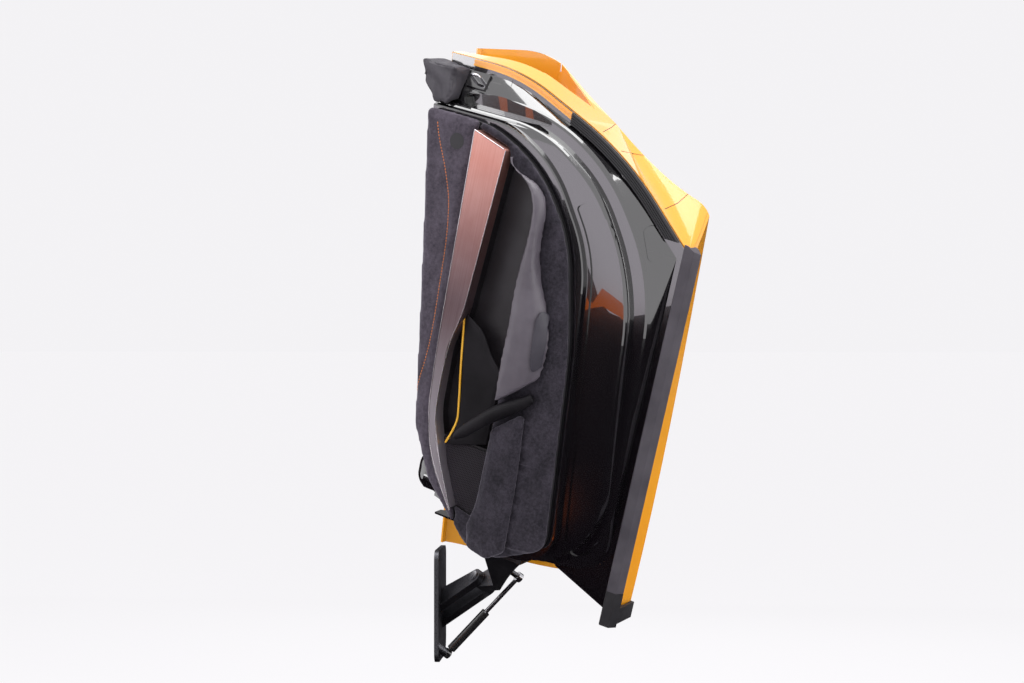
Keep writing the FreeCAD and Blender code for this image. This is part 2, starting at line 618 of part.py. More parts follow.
def duct_liner():
    """Dark lining of the channel's inner wall, under the belt at the rear."""
    patch = [(REAR_Y + 4, 400, 0), (REAR_Y + 4, 196, 10), (-1010, 186, 30), (-960, 400, 0)]
    lining = channel_block(LINER_T).cut(channel_block(SEAT))
    keep = side_plate(patch, BELT_X, FLANGE_X + 80.0)
    return lining.common(keep).common(under_belt(1.0))


def trim_card(upper):
    """One of the two padded trim cards, which meet along the metal strip."""
    card = side_pad(TRIM, CARD_FACE_X, CARRIER_FACE_X, TRIM_EDGE_R)
    low, high = CARD_FACE_X - 20.0, CARRIER_FACE_X + 10.0
    if upper:
        return card.common(side_plate(UPPER_SEAM + [(-100, 500, 0), (-1200, 500, 0)], low, high))
    keep = side_plate(LOWER_SEAM + [(-100, -500, 0), (-1200, -500, 0)], low, high)
    return card.common(keep).cut(side_plate(STRIP, low, high, STRIP_GAP)).cut(side_plate(RECESS, low, high))


def metal_strip():
    return side_plate(STRIP, STRIP_FACE_X, CARRIER_FACE_X)


def trim_carrier():
    """Stiff backing of the trim, with an opening for the pocket."""
    plate = side_plate(TRIM, CARRIER_FACE_X, FRAME_FACE_X, -CARRIER_INSET)
    return plate.cut(pocket_block(0.0))


def pocket_liner():
    outer = pocket_block(-SEAT, CARRIER_FACE_X, RECESS_FLOOR_X)
    hollow = pocket_block(-SEAT - LINER_T, CARRIER_FACE_X - 1, RECESS_FLOOR_X - LINER_T)
    return outer.cut(hollow)


def pocket_flap():
    flap = side_plate(POCKET_FLAP, FLAP_X, FLAP_X + FLAP_T)
    inside = side_plate(RECESS, FLAP_X, FLAP_X + FLAP_T, -SEAT)
    return flap.common(inside).cut(side_plate(STRIP, STRIP_FACE_X, CARRIER_FACE_X, SEAT))


def speaker_grille():
    plate = side_plate(RECESS, CARRIER_FACE_X - GRILLE_T, CARRIER_FACE_X, -SEAT)
    front = RECESS_FRONT_Y + 2.0
    plate = plate.common(box(CARRIER_FACE_X - GRILLE_T, CARRIER_FACE_X, front, 0.0, -200.0, 300.0))
    return plate.cut(side_plate(STRIP, STRIP_FACE_X, CARRIER_FACE_X + 1, SEAT))


def armrest():
    """Leather armrest: a crowned ledge that tapers up to the strip's rear end."""
    wires = []
    for y, crest_x, seam_z, crest_z, brink_z in ARMREST:
        swell = ((CARD_FACE_X + crest_x) / 2 - ARMREST_CROWN, (seam_z + crest_z) / 2 - ARMREST_CROWN / 3)
        crown = (crest_x - ARMREST_CROWN / 2, (crest_z + brink_z) / 2)
        wires.append(run_wire((CARD_FACE_X, seam_z), [
            (swell, (crest_x, crest_z)),
            (crown, (crest_x + 2.0, brink_z)),
            ((CARD_FACE_X, brink_z + 2.0),),
            ((CARD_FACE_X, seam_z),)], y))
    return Part.makeLoft(wires, True, False).cut(side_plate(ARMREST_FRONT, -150.0, 0.0))


def inset_pad():
    """Thin lozenge that follows the armrest's lower side."""
    block, under = armrest(), armrest()
    out = V(-1, 0, -1)
    out.normalize()
    block.translate(out * (SEAT + LOZENGE_T))
    under.translate(out * SEAT)
    return side_plate(LOZENGE, ARMREST[6][1], CARD_FACE_X).common(block).cut(under)


def pull_handle():
    """Soft grab handle, lofted through ellipses set square to its run."""
    wires = []
    for i, (x, y, z, half_w, half_t) in enumerate(HANDLE):
        before = HANDLE[max(i - 1, 0)]
        after = HANDLE[min(i + 1, len(HANDLE) - 1)]
        run = V(*after[:3]) - V(*before[:3])
        run.normalize()
        wide = run.cross(V(1, 0, 0))
        wide.normalize()
        turn = FreeCAD.Rotation(wide, run.cross(wide), run, "ZXY")
        ring = Part.Ellipse(V(0, 0, 0), half_w, half_t).toShape()
        ring.Placement = FreeCAD.Placement(V(x, y, z), turn)
        wires.append(Part.Wire([ring]))
    return Part.makeLoft(wires, True, False)


def sill_rubber():
    return cross_plate(SILL_SECTION, SILL_REAR_Y, SILL_FRONT_Y)


def sill_front_cap():
    """Moulded front end of the sill rubber, with a lip under the skin's front corner."""
    cap = cross_plate(SILL_SECTION, SILL_FRONT_Y, SILL_CAP_FRONT_Y)
    lip = cross_plate(SILL_LIP, SILL_LIP_REAR_Y, SILL_CAP_FRONT_Y)
    return cap.fuse(lip).removeSplitter()


def sill_rear_cap():
    """Mitred rear end of the sill rubber, cut back to follow the frame's heel."""
    cap = cross_plate(SILL_SECTION, SILL_CAP_REAR_Y, SILL_REAR_Y)
    y = SILL_CAP_REAR_Y
    heel = [(y - 60, -300, 0), (y, -345, 0), (y + 18, -380, 0), (y - 60, -380, 0)]
    return cap.cut(side_plate(heel, -100.0, 200.0)).cut(frame_block())


def front_lower_panel():
    """Dark triangle that fills the frame's rounded front corner down to the sill."""
    corners = [(-330, SILL_Z, 0), (-154, SILL_Z, 3), (-150, -338, 3), (-200, -205, 8), (-230, -205, 0)]
    plate = side_plate(corners, FLANGE_X, FLANGE_X + FLANGE_T - 1.0)
    return plate.cut(frame_block())


def door_seal():
    """Ribbed weatherstrip on the flange's land, from the hem down to the sill rubber."""
    width = RIB_PITCH * (WEATHERSTRIP_RIBS - 1) + RIB_W
    ribs = [(HEM_INSET + RIB_PITCH * i, RIB_W, WEATHERSTRIP_H) for i in range(WEATHERSTRIP_RIBS)]
    return on_flange([(HEM_INSET, width, WEATHERSTRIP_BASE)] + ribs, -400.0, WEATHERSTRIP_TOP_Z)


def belt_seal(x_low, x_high):
    """Rubber along the belt, on one side of the window glass."""
    rear, front = BELT_SEAL_REAR_Y, BELT_NOTCH[0] - 4.0
    top = [(y, belt_z(y) - FRAME_DROP, 0) for y in (rear, front)]
    low = [(y, belt_z(y) - FRAME_DROP - SEAL_DEPTH, 0) for y in (front, rear)]
    return side_plate(top + low, x_low, x_high)


def window_glass():
    """Side glass, wound right down: its top edge stays just under the belt."""
    rear, front = GLASS_LOW[0][0], GLASS_LOW[-1][0]
    corners = [(rear, belt_z(rear) - GLASS_DROP, 8)] + GLASS_LOW + [(front, belt_z(front) - GLASS_DROP, 8)]
    return side_plate(corners, GLASS_X, GLASS_X + GLASS_T)


def belt_corner_seal():
    """Rubber block that wraps the belt's rear corner and seals against the roof."""
    low_z = LATCH_Z + 27.0
    corners = [(REAR_Y + 5, low_z, 8), (REAR_Y + 3, belt_z(REAR_Y) + 38, 10),
               (-1142, belt_z(-1142) + 30, 30), (-1103, belt_z(-1103) - 2, 12), (-1103, low_z + 10, 8),
               (-1120, low_z, 8)]
    block = side_plate(corners, FRAME_FACE_X - 4.0, FLANGE_X + FLANGE_T)
    return block.cut(frame_block().common(under_belt(FRAME_DROP - SEAT)))


def latch_seat():
    """Middle of the latch's seat, its direction along the slope and its direction out of it."""
    (_, land, x_land), (_, rise, x_ridge) = TERRACES[2], TERRACES[3]
    low, high = V(x_land, REAR_Y + land, LATCH_Z), V(x_ridge, OUTER_RIDGE[0][0] + rise, LATCH_Z)
    along = high - low
    along.normalize()
    out = V(0, 0, 1).cross(along)
    return (low + high) * 0.5 + out * SEAT, along, out


def latch_plate():
    """Plate under the latch loop, on the slope inside the flange's land."""
    middle, along, out = latch_seat()
    half = along * (LATCH_PLATE_L / 2)
    low = V(0, 0, LATCH_PLATE_H / 2)
    points = [middle - half - low, middle + half - low,
              middle + half * 0.92 + out * LATCH_PLATE_T - low, middle - half * 0.92 + out * LATCH_PLATE_T - low]
    return Part.Face(Part.makePolygon(points + [points[0]])).extrude(V(0, 0, LATCH_PLATE_H))


def latch_loop():
    """Bright loop of rod standing out of the latch plate."""
    middle, _, out = latch_seat()
    base = middle + out * LATCH_PLATE_T
    half = LATCH_HALF
    low, high = base - V(0, 0, half), base + V(0, 0, half)
    start, tip = SEAT, LATCH_REACH
    path = Part.Wire([
        Part.LineSegment(low + out * start, low + out * tip).toShape(),
        Part.Arc(low + out * tip, base + out * (tip + half), high + out * tip).toShape(),
        Part.LineSegment(high + out * tip, high + out * start).toShape()])
    ring = Part.Wire([Part.Circle(low + out * start, out, LATCH_ROD_R).toShape()])
    return path.makePipeShell([ring], True, False)


def hinge_bracket():
    """Plate on the tub with two knuckle lugs and the strut's lower stud."""
    foot = strut_foot()
    seat_z = foot.z + AXIS.z * (foot.x - PLATE_T) / -AXIS.x
    low_z = seat_z - STRUT_SEAT_MARGIN
    bracket = side_plate([(-PLATE_HALF_Y, low_z, 20), (PLATE_HALF_Y, low_z, 40),
                          (PLATE_HALF_Y, PLATE_TOP_Z, 20), (-PLATE_HALF_Y, PLATE_TOP_Z, 20)], 0.0, PLATE_T)
    inner = HUB_HALF + KNUCKLE_GAP
    outer = inner + SIDE_KNUCKLE
    reach = lug_reach(outer)
    keep = box(PLATE_T - 2.0, 2 * PIN_X, -400.0, 400.0, -400.0, 400.0)
    for low, high in ((inner, outer), (-outer, -inner)):
        web = hinge_web(KNUCKLE_R, reach, LUG_ROOT_HALF, LUG_DEG, low, high)
        lug = web.fuse(hinge_cylinder(0, 0, KNUCKLE_R, low, high))
        bracket = bracket.fuse(lug.common(keep))
    stud_end = EYE_W / 2 + STUD_PROUD
    to_plate = 2 * STRUT_FOOT_OUT / -AXIS.x
    stud = Part.makeCylinder(STUD_R, stud_end + to_plate, foot - AXIS * stud_end, AXIS)
    collar = EYE_W / 2 + SEAT
    boss = Part.makeCylinder(EYE_R - 1, to_plate - collar, foot + AXIS * collar, AXIS)
    bracket = bracket.fuse([stud.common(keep), boss.common(keep)])
    for y in (-BOLT_SPACING_Y / 2, BOLT_SPACING_Y / 2):
        for z in (-BOLT_SPACING_Z / 2, BOLT_SPACING_Z / 2):
            bracket = bracket.cut(Part.makeCylinder(BOLT_HOLE_R, PLATE_T + 2, V(-1, y, z), V(1, 0, 0)))
    return bracket.cut(hinge_cylinder(0, 0, PIN_R + FIT, -outer - 1, outer + 1)).removeSplitter()


def hinge_pin():
    """Hinge pin with a round head at its upper end."""
    end = HUB_HALF + KNUCKLE_GAP + SIDE_KNUCKLE
    pin = hinge_cylinder(0, 0, PIN_R, -end - 1.0, end + 1.0)
    return pin.fuse(hinge_cylinder(0, 0, PIN_HEAD_R, end + SEAT, end + PIN_HEAD_T)).removeSplitter()


def hinge_arm():
    """Arm from the pin to the door's front wall, with the ear that takes the strut's head."""
    hub = hinge_cylinder(0, 0, KNUCKLE_R, -HUB_HALF, HUB_HALF)
    ear = hinge_web(KNUCKLE_R, STRUT_HEAD_R, EYE_R, STRUT_HEAD_DEG, -HUB_HALF, HUB_HALF)
    tip = hinge_cylinder(STRUT_HEAD_R, STRUT_HEAD_DEG, EYE_R, -HUB_HALF, HUB_HALF)
    stud = hinge_cylinder(STRUT_HEAD_R, STRUT_HEAD_DEG, STUD_R, STRUT_PLANE + EYE_W / 2 + 0.5, 0.0)
    neck = hinge_web(KNUCKLE_R, ARM_START_R, ARM_HALF_W, ARM_DEG, -HUB_HALF, HUB_HALF)

    start = hinge_point(ARM_START_R, ARM_DEG, 0)
    outward = start - PIN
    outward.normalize()
    sideways = AXIS.cross(outward)
    near = [start + AXIS * (HUB_HALF * s) + sideways * (ARM_HALF_W * t)
            for s, t in ((1, -1), (1, 1), (-1, 1), (-1, -1))]
    low_x, high_x = FOOT_X_LOW + 4, FOOT_X_HIGH - 4
    low_z, high_z = FOOT_Z_LOW + 10, FOOT_Z_TOP - 14
    y = FRONT_Y + FOOT_T
    far = [V(low_x, y, high_z), V(high_x, y, high_z), V(high_x, y, low_z), V(low_x, y, low_z)]
    beam = Part.makeLoft([Part.makePolygon(near + [near[0]]), Part.makePolygon(far + [far[0]])], True, True)
    foot = box(FOOT_X_LOW, FOOT_X_HIGH, FRONT_Y, FRONT_Y + FOOT_T, FOOT_Z_LOW, FOOT_Z_TOP)
    arm = hub.fuse([ear, tip, stud, neck, beam, foot])
    return arm.cut(hinge_cylinder(0, 0, PIN_R + FIT, -HUB_HALF - 1, HUB_HALF + 1)).removeSplitter()


def strut_line():
    """The strut's two ends and its direction, door open."""
    foot = strut_foot()
    head = hinge_point(STRUT_HEAD_R, STRUT_HEAD_DEG + OPEN_ANGLE, STRUT_PLANE)
    run = head - foot
    run.normalize()
    return foot, head, run


def strut_eye(centre):
    low = centre - AXIS * (EYE_W / 2)
    ring = Part.makeCylinder(EYE_R, EYE_W, low, AXIS)
    return ring, Part.makeCylinder(STUD_R + FIT, EYE_W + 2, low - AXIS, AXIS)


def strut_cylinder():
    foot, _, run = strut_line()
    ring, bore = strut_eye(foot)
    tube_start = EYE_R + 3.0
    neck = Part.makeCylinder(EYE_W / 2 - 0.2, 8.0, foot + run * (EYE_R - 3), run)
    tube = Part.makeCylinder(STRUT_TUBE_R, STRUT_TUBE_END - tube_start, foot + run * tube_start, run)
    start = tube_start + 5.0
    gland_at = STRUT_TUBE_END - STRUT_GLAND
    hollow = Part.makeCylinder(STRUT_BORE_R, gland_at - start, foot + run * start, run)
    gland = Part.makeCylinder(STRUT_ROD_R + FIT, STRUT_GLAND + 2, foot + run * (gland_at - 1), run)
    return ring.fuse([neck, tube]).cut(bore).cut(hollow).cut(gland)


def strut_rod():
    foot, head, run = strut_line()
    ring, bore = strut_eye(head)
    inner_end = foot + run * (STRUT_TUBE_END - STRUT_GLAND - STRUT_PISTON_BACK)
    rod = Part.makeCylinder(STRUT_ROD_R, (head - inner_end).Length - EYE_R + 3, inner_end, run)
    piston = Part.makeCylinder(STRUT_BORE_R - FIT, STRUT_PISTON_T, inner_end, run)
    return ring.fuse([rod, piston]).cut(bore)


def mirror_arm():
    """Stalk from the door's front shoulder up to the folding joint."""
    low = [V(64, -296, 84), V(96, -296, 60), V(96, -216, 60), V(64, -216, 84)]
    high = [V(x, y, MIRROR_JOINT_Z - 14) for x, y in ((112, -257), (166, -257), (166, -211), (112, -211))]
    stalk = Part.makeLoft([Part.makePolygon(low + [low[0]]), Part.makePolygon(high + [high[0]])], True, True)
    joint = Part.makeCylinder(26.0, 14.0, V(MIRROR_AXIS_X, MIRROR_AXIS_Y, MIRROR_JOINT_Z - 14))
    post = Part.makeCylinder(MIRROR_POST_R, 20.0, V(MIRROR_AXIS_X, MIRROR_AXIS_Y, MIRROR_JOINT_Z - 2))
    return stalk.fuse([joint, post]).cut(channel_block(SEAT)).cut(shoulder_block(SEAT)).removeSplitter()


def mirror_window(inset, y_low, y_high):
    """Rounded rectangle of the mirror's glass, seen from behind and extruded along the car."""
    low_x, high_x, low_z, high_z = MIRROR_POCKET
    radius = 14.0 - inset
    corners = [(low_x + inset, low_z + inset, radius), (high_x - inset, low_z + inset, radius),
               (high_x - inset, high_z - inset, radius), (low_x + inset, high_z - inset, radius)]
    wire = rounded_wire(corners, lambda x, z: V(x, y_low, z))
    return Part.Face(wire).extrude(V(0, y_high - y_low, 0))


def mirror_shell():
    """Housing that folds about the stalk's post, with a pocket for the glass."""
    wires = []
    for x, rear, front, low, top, radius in MIRROR_SECTIONS:
        corners = [(rear, low, radius), (front, low, radius), (front, top, radius), (rear, top, radius)]
        wires.append(side_wire(corners, x))
    shell = Part.makeLoft(wires, True, False)
    joint = V(MIRROR_AXIS_X, MIRROR_AXIS_Y, MIRROR_JOINT_Z + 1.0)
    neck = Part.makeCylinder(24.0, 30.0, joint)
    bridge = box(joint.x, joint.x + 60.0, joint.y - 12, joint.y + 24, joint.z + 15, joint.z + 30)
    socket = Part.makeCylinder(MIRROR_POST_R + FIT, 22.0, joint - V(0, 0, 3))
    return shell.fuse([neck, bridge]).cut(mirror_window(0.0, -400.0, MIRROR_POCKET_Y)).cut(socket)


def mirror_glass():
    return mirror_window(1.0, MIRROR_POCKET_Y - MIRROR_GLASS_T - SEAT, MIRROR_POCKET_Y - SEAT)


def build():
    save("hinge_bracket", hinge_bracket(), BODY)
    save("hinge_pin", hinge_pin(), BODY)
    save("strut_cylinder", strut_cylinder(), BODY)
    save("strut_rod", strut_rod(), BODY)
    save("hinge_arm", hinge_arm())
    save("door_frame", door_frame())
    save("lower_skin", lower_skin())
    save("wing_panel", wing_panel())
    save("channel_wall", channel_wall())
    save("rear_return", rear_return())
    save("front_end_panel", front_end_panel())
    save("duct_liner", duct_liner())
    save("front_lower_panel", front_lower_panel())
    save("sill_rubber", sill_rubber())
    save("sill_rear_cap", sill_rear_cap())
    save("sill_front_cap", sill_front_cap())
    save("door_seal", door_seal())
    save("rear_hem", rear_hem())
    save("belt_seal_inner", belt_seal(FRAME_FACE_X + FRAME_WALL + SEAT, GLASS_X - SEAT))
    save("belt_seal_outer", belt_seal(GLASS_X + GLASS_T + SEAT, FLANGE_X + FLANGE_T))
    save("belt_corner_seal", belt_corner_seal())
    save("window_glass", window_glass())
    save("latch_plate", latch_plate())
    save("latch_loop", latch_loop())
    save("trim_carrier", trim_carrier())
    save("upper_card", trim_card(True))
    save("lower_card", trim_card(False))
    save("metal_strip", metal_strip())
    save("armrest", armrest())
    save("front_bolster", side_pad(BOLSTER, BOLSTER_FACE_X, CARD_FACE_X, BOLSTER_EDGE_R))
    save("pull_handle", pull_handle())
    save("pocket_liner", pocket_liner())
    save("pocket_flap", pocket_flap())
    save("speaker_grille", speaker_grille())
    save("inset_pad", inset_pad())
    save("round_disc", Part.makeCylinder(DISC_R, DISC_T, V(CARD_FACE_X - DISC_T, DISC_Y, DISC_Z), V(1, 0, 0)))
    save("mirror_arm", mirror_arm())
    save("mirror_shell", mirror_shell())
    save("mirror_glass", mirror_glass())


build()
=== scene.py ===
"""Dressed model of a right-hand upward-opening car door, seen open from behind."""
import math
import bpy
import numpy as np
from mathutils import Matrix, Vector
from mathutils.bvhtree import BVHTree


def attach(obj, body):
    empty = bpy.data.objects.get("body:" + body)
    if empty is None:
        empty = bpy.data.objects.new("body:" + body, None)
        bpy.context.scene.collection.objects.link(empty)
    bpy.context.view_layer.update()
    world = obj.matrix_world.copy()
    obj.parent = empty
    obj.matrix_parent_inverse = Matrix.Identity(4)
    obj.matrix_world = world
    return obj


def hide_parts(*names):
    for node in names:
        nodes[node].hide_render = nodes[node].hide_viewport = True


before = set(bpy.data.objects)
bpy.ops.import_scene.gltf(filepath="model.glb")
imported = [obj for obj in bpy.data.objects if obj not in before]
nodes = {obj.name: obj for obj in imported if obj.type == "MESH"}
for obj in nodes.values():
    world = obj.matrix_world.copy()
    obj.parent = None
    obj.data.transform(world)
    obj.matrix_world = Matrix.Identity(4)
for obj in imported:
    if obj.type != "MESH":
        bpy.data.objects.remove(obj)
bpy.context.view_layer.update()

# The door is drawn shut, in the car's own directions, and turned open about its inclined hinge
HINGE = Vector((0.110, -0.060, 0.0))
HINGE_AXIS = Vector((-0.66209884, -0.49892727, 0.5591929))
OPEN = (Matrix.Translation(HINGE) @ Matrix.Rotation(math.radians(92), 4, HINGE_AXIS)
        @ Matrix.Translation(-HINGE))
SHUT = OPEN.inverted()
INBOARD = (OPEN.to_3x3() @ Vector((-1, 0, 0))).normalized()
FLOOR_Z = -0.62
OBJECT_MIDDLE = Vector((0.1, -0.2, 0.6))

CAMERA_AT = Vector((0.540, -4.221, 0.544))
CAMERA_TURN = math.radians(5)
LENS, SENSOR = 65.0, 36.0
PICTURE = (1024, 683)

# Lines on the trim, seen from the side with the door shut. Columns: y, z in metres
STITCH_LINE = [(-1.071, 0.234), (-1.045, 0.227), (-0.991, 0.199), (-0.952, 0.183),
               (-0.913, 0.169), (-0.828, 0.157), (-0.745, 0.154), (-0.660, 0.150),
               (-0.603, 0.150), (-0.550, 0.154), (-0.491, 0.163)]
PIPING_LINE = [(-0.697, 0.083), (-0.667, 0.078), (-0.586, 0.067), (-0.490, 0.051),
               (-0.452, 0.047), (-0.400, 0.069)]
STRIP_EDGES = [[(-1.0770, 0.1342), (-0.772, 0.1264), (-0.540, 0.1200), (-0.430, 0.1060),
                (-0.350, 0.0760), (-0.266, 0.0130)],
               [(-1.0530, 0.0528), (-0.760, 0.0720), (-0.690, 0.0770), (-0.620, 0.0970),
                (-0.470, 0.0980), (-0.400, 0.0780), (-0.330, 0.0440), (-0.266, 0.0120)],
               [(-1.0770, 0.1342), (-1.0650, 0.0930), (-1.0530, 0.0528)]]
BOLSTER_SEAM = [(-0.538, -0.112), (-0.412, -0.127), (-0.222, -0.136)]

# Levels across the shut door, x in metres
PIPING_X = -0.0706
STRIP_EDGE_X = -0.0878
FRAME_FACE_X = -0.031
CABIN_X = -0.30

# Sizes in metres: stitches, beads, puckers, the mesh's holes, and how near loose corners are merged
STITCH_PITCH, STITCH_LENGTH, STITCH_RADIUS = 0.0066, 0.0050, 0.00085
STITCH_PRESS, STITCH_PRESS_WIDTH = 0.0016, 0.004
SEAM_STEP, LEVEL_LINE_STEP = 0.004, 0.008
PIPING_RADIUS, STRIP_BEVEL_RADIUS, CREASE_SHADE_RADIUS = 0.0023, 0.0011, 0.0007
CREASE_SHADE_SINK = 0.0001
PUCKER_PITCH, PUCKER_HEIGHT, PUCKER_REACH = 0.027, 0.0048, 0.036
HOLE_PITCH = 0.0042
MERGE = 0.00002

# Cloth that blows the covers up
CLOTH_FRAMES, CLOTH_QUALITY, CLOTH_PRESSURE = 20, 3, 4.0
HELD_FACING = -0.5

# Places in the picture, in pixels: lines along the creases of the rear return, drawn dark as painted shade,
# and what the gloss black reflects
RETURN_CREASE_SHADE_LINES = [[(603, 132), (612, 127), (621, 119)],
                 [(621, 151), (640, 155), (656, 155)],
                 [(665, 209), (678, 203), (688, 194)]]
BRIGHT_REFLECTION = [(330, -60), (800, -60), (800, 450), (330, 450)]
DARK_REFLECTIONS = [[(330, 196), (622, 200), (632, 240), (638, 304), (648, 316), (668, 322),
                     (800, 300), (800, 900), (330, 900)],
                    [(466, 94), (502, 95), (538, 110), (553, 125), (550, 136), (534, 136),
                     (503, 122), (467, 114)]]
ORANGE_REFLECTIONS = [[(604, 318), (607, 306), (620, 294), (628, 308), (643, 288), (668, 306),
                       (668, 324), (640, 310)],
                      [(558, 536), (596, 488), (602, 512), (566, 556)],
                      [(583, 420), (588, 330), (590, 330), (588, 424)],
                      [(482, 94), (491, 94), (492, 112), (485, 112)],
                      [(509, 99), (516, 102), (519, 126), (511, 124)]]

# How far each studio card stands from the inner frame, along the reflected ray, in metres
BRIGHT_REACH, FLAG_REACH, ORANGE_REACH = 2.2, 1.2, 1.15

# Colours of the studio, linear
PALE_FLOOR, FLOOR_GLOW = (0.80, 0.79, 0.81, 1), (0.984, 0.972, 0.989, 1)
GLOW_SHARE = 0.8
BACKDROP = (0.90, 0.89, 0.91, 1)
ROOM_LOW, ROOM_HIGH = (0.14, 0.135, 0.145, 1), (0.85, 0.85, 0.88, 1)
CARD_BRIGHT, CARD_BLACK = (1.30, 1.22, 1.34, 1), (0.006, 0.003, 0.006, 1)
CARD_ORANGE, CARD_DARK = (1.3, 0.25, 0.015, 1), (0.012, 0.009, 0.012, 1)


def sockets(group, ins, outs):
    for name, kind, value in ins:
        socket = group.interface.new_socket(name, in_out="INPUT", socket_type=kind)
        if value is not None:
            socket.default_value = value
    for name, kind in outs:
        group.interface.new_socket(name, in_out="OUTPUT", socket_type=kind)


def node(tree, kind, **values):
    made = tree.nodes.new(kind)
    for key, value in values.items():
        if hasattr(made, key):
            setattr(made, key, value)
        else:
            made.inputs[key.replace("_", " ")].default_value = value
    return made


def math_node(tree, operation, a, b=None, clamp=False):
    made = node(tree, "ShaderNodeMath", operation=operation, use_clamp=clamp)
    for i, value in enumerate((a, b)):
        if value is None:
            continue
        if isinstance(value, (int, float)):
            made.inputs[i].default_value = value
        else:
            tree.links.new(value, made.inputs[i])
    return made.outputs[0]


def mix_colour(tree, share, a, b):
    made = node(tree, "ShaderNodeMix", data_type="RGBA")
    for i, value in ((0, share), (6, a), (7, b)):
        if isinstance(value, (int, float, tuple)):
            made.inputs[i].default_value = value
        else:
            tree.links.new(value, made.inputs[i])
    return made.outputs[2]


def shut_coordinates(tree):
    """Object coordinates turned back to the shut door's directions."""
    place = node(tree, "ShaderNodeTexCoord")
    turn = node(tree, "ShaderNodeMapping")
    turn.inputs["Location"].default_value = SHUT.to_translation()
    turn.inputs["Rotation"].default_value = SHUT.to_euler()
    tree.links.new(place.outputs["Object"], turn.inputs["Vector"])
    return turn.outputs["Vector"]


def stretched(tree, vector, scale):
    made = node(tree, "ShaderNodeMapping")
    made.inputs["Scale"].default_value = scale
    tree.links.new(vector, made.inputs["Vector"])
    return made.outputs["Vector"]


def noise_node(tree, vector, scale, detail=3.0, rough=0.55):
    made = node(tree, "ShaderNodeTexNoise", Scale=scale, Detail=detail, Roughness=rough)
    tree.links.new(vector, made.inputs["Vector"])
    return made.outputs["Fac"]


def ramp(tree, value, low, high):
    made = node(tree, "ShaderNodeMapRange", clamp=True, From_Min=low, From_Max=high)
    tree.links.new(value, made.inputs["Value"])
    return made.outputs["Result"]


def new_group(name, ins, outs):
    group = bpy.data.node_groups.new(name, "ShaderNodeTree")
    sockets(group, ins, outs)
    return group, group.nodes.new("NodeGroupInput"), group.nodes.new("NodeGroupOutput")


def dust_group():
    """Faint patches of dust and handling marks: a mask from 0 to 1."""
    ins = [("Vector", "NodeSocketVector", None), ("Amount", "NodeSocketFloat", 0.3)]
    group, gin, gout = new_group("dust", ins, [("Mask", "NodeSocketFloat")])
    broad = ramp(group, noise_node(group, gin.outputs["Vector"], 9.0, 5.0), 0.45, 0.75)
    fine = ramp(group, noise_node(group, gin.outputs["Vector"], 900.0, 2.0), 0.50, 0.70)
    both = math_node(group, "MULTIPLY", broad, fine)
    group.links.new(math_node(group, "MULTIPLY", both, gin.outputs["Amount"]), gout.inputs["Mask"])
    return group


def grain_group():
    """Leather or rubber grain: cells with soft creases between them. Height runs from 0 to 1."""
    ins = [("Vector", "NodeSocketVector", None), ("Scale", "NodeSocketFloat", 700.0)]
    group, gin, gout = new_group("grain", ins, [("Height", "NodeSocketFloat")])
    warp = node(group, "ShaderNodeTexNoise", Scale=60.0)
    group.links.new(gin.outputs["Vector"], warp.inputs["Vector"])
    shift = node(group, "ShaderNodeVectorMath", operation="SCALE")
    shift.inputs["Scale"].default_value = 0.006
    group.links.new(warp.outputs["Color"], shift.inputs[0])
    moved = node(group, "ShaderNodeVectorMath", operation="ADD")
    group.links.new(gin.outputs["Vector"], moved.inputs[0])
    group.links.new(shift.outputs[0], moved.inputs[1])
    cells = node(group, "ShaderNodeTexVoronoi", feature="DISTANCE_TO_EDGE")
    group.links.new(moved.outputs[0], cells.inputs["Vector"])
    group.links.new(gin.outputs["Scale"], cells.inputs["Scale"])
    group.links.new(ramp(group, cells.outputs["Distance"], 0.0, 0.22), gout.inputs["Height"])
    return group


def nap_group():
    """Brushed suede: broad strokes, small mottling and fibres. Shade and Height run from 0 to 1."""
    group, gin, gout = new_group("nap", [("Vector", "NodeSocketVector", None)],
                                 [("Shade", "NodeSocketFloat"), ("Height", "NodeSocketFloat")])
    vector = gin.outputs["Vector"]
    strokes = noise_node(group, stretched(group, vector, (1.0, 0.55, 1.0)), 26.0, 5.0, 0.65)
    mottle = noise_node(group, vector, 150.0, 4.0, 0.7)
    speckle = noise_node(group, vector, 620.0, 3.0, 0.7)
    shade = math_node(group, "MULTIPLY", strokes, 0.38)
    shade = math_node(group, "ADD", shade, math_node(group, "MULTIPLY", mottle, 0.37))
    shade = math_node(group, "ADD", shade, math_node(group, "MULTIPLY", speckle, 0.25))
    group.links.new(ramp(group, shade, 0.40, 0.60), gout.inputs["Shade"])
    group.links.new(noise_node(group, vector, 1500.0, 2.0, 0.6), gout.inputs["Height"])
    return group


DUST, GRAIN, NAP = dust_group(), grain_group(), nap_group()


def use_group(tree, group, vector, **values):
    made = node(tree, "ShaderNodeGroup", node_tree=group)
    tree.links.new(vector, made.inputs["Vector"])
    for key, value in values.items():
        made.inputs[key].default_value = value
    return made


def material(name, **values):
    made = bpy.data.materials.new(name)
    made.use_nodes = True
    shader = made.node_tree.nodes["Principled BSDF"]
    for key, value in values.items():
        shader.inputs[key.replace("_", " ")].default_value = value
    return made, made.node_tree, shader


def bump(tree, shader, height, strength, distance, before=None):
    made = node(tree, "ShaderNodeBump", Strength=strength, Distance=distance)
    tree.links.new(height, made.inputs["Height"])
    if before is not None:
        tree.links.new(before, made.inputs["Normal"])
    tree.links.new(made.outputs["Normal"], shader.inputs["Normal"])


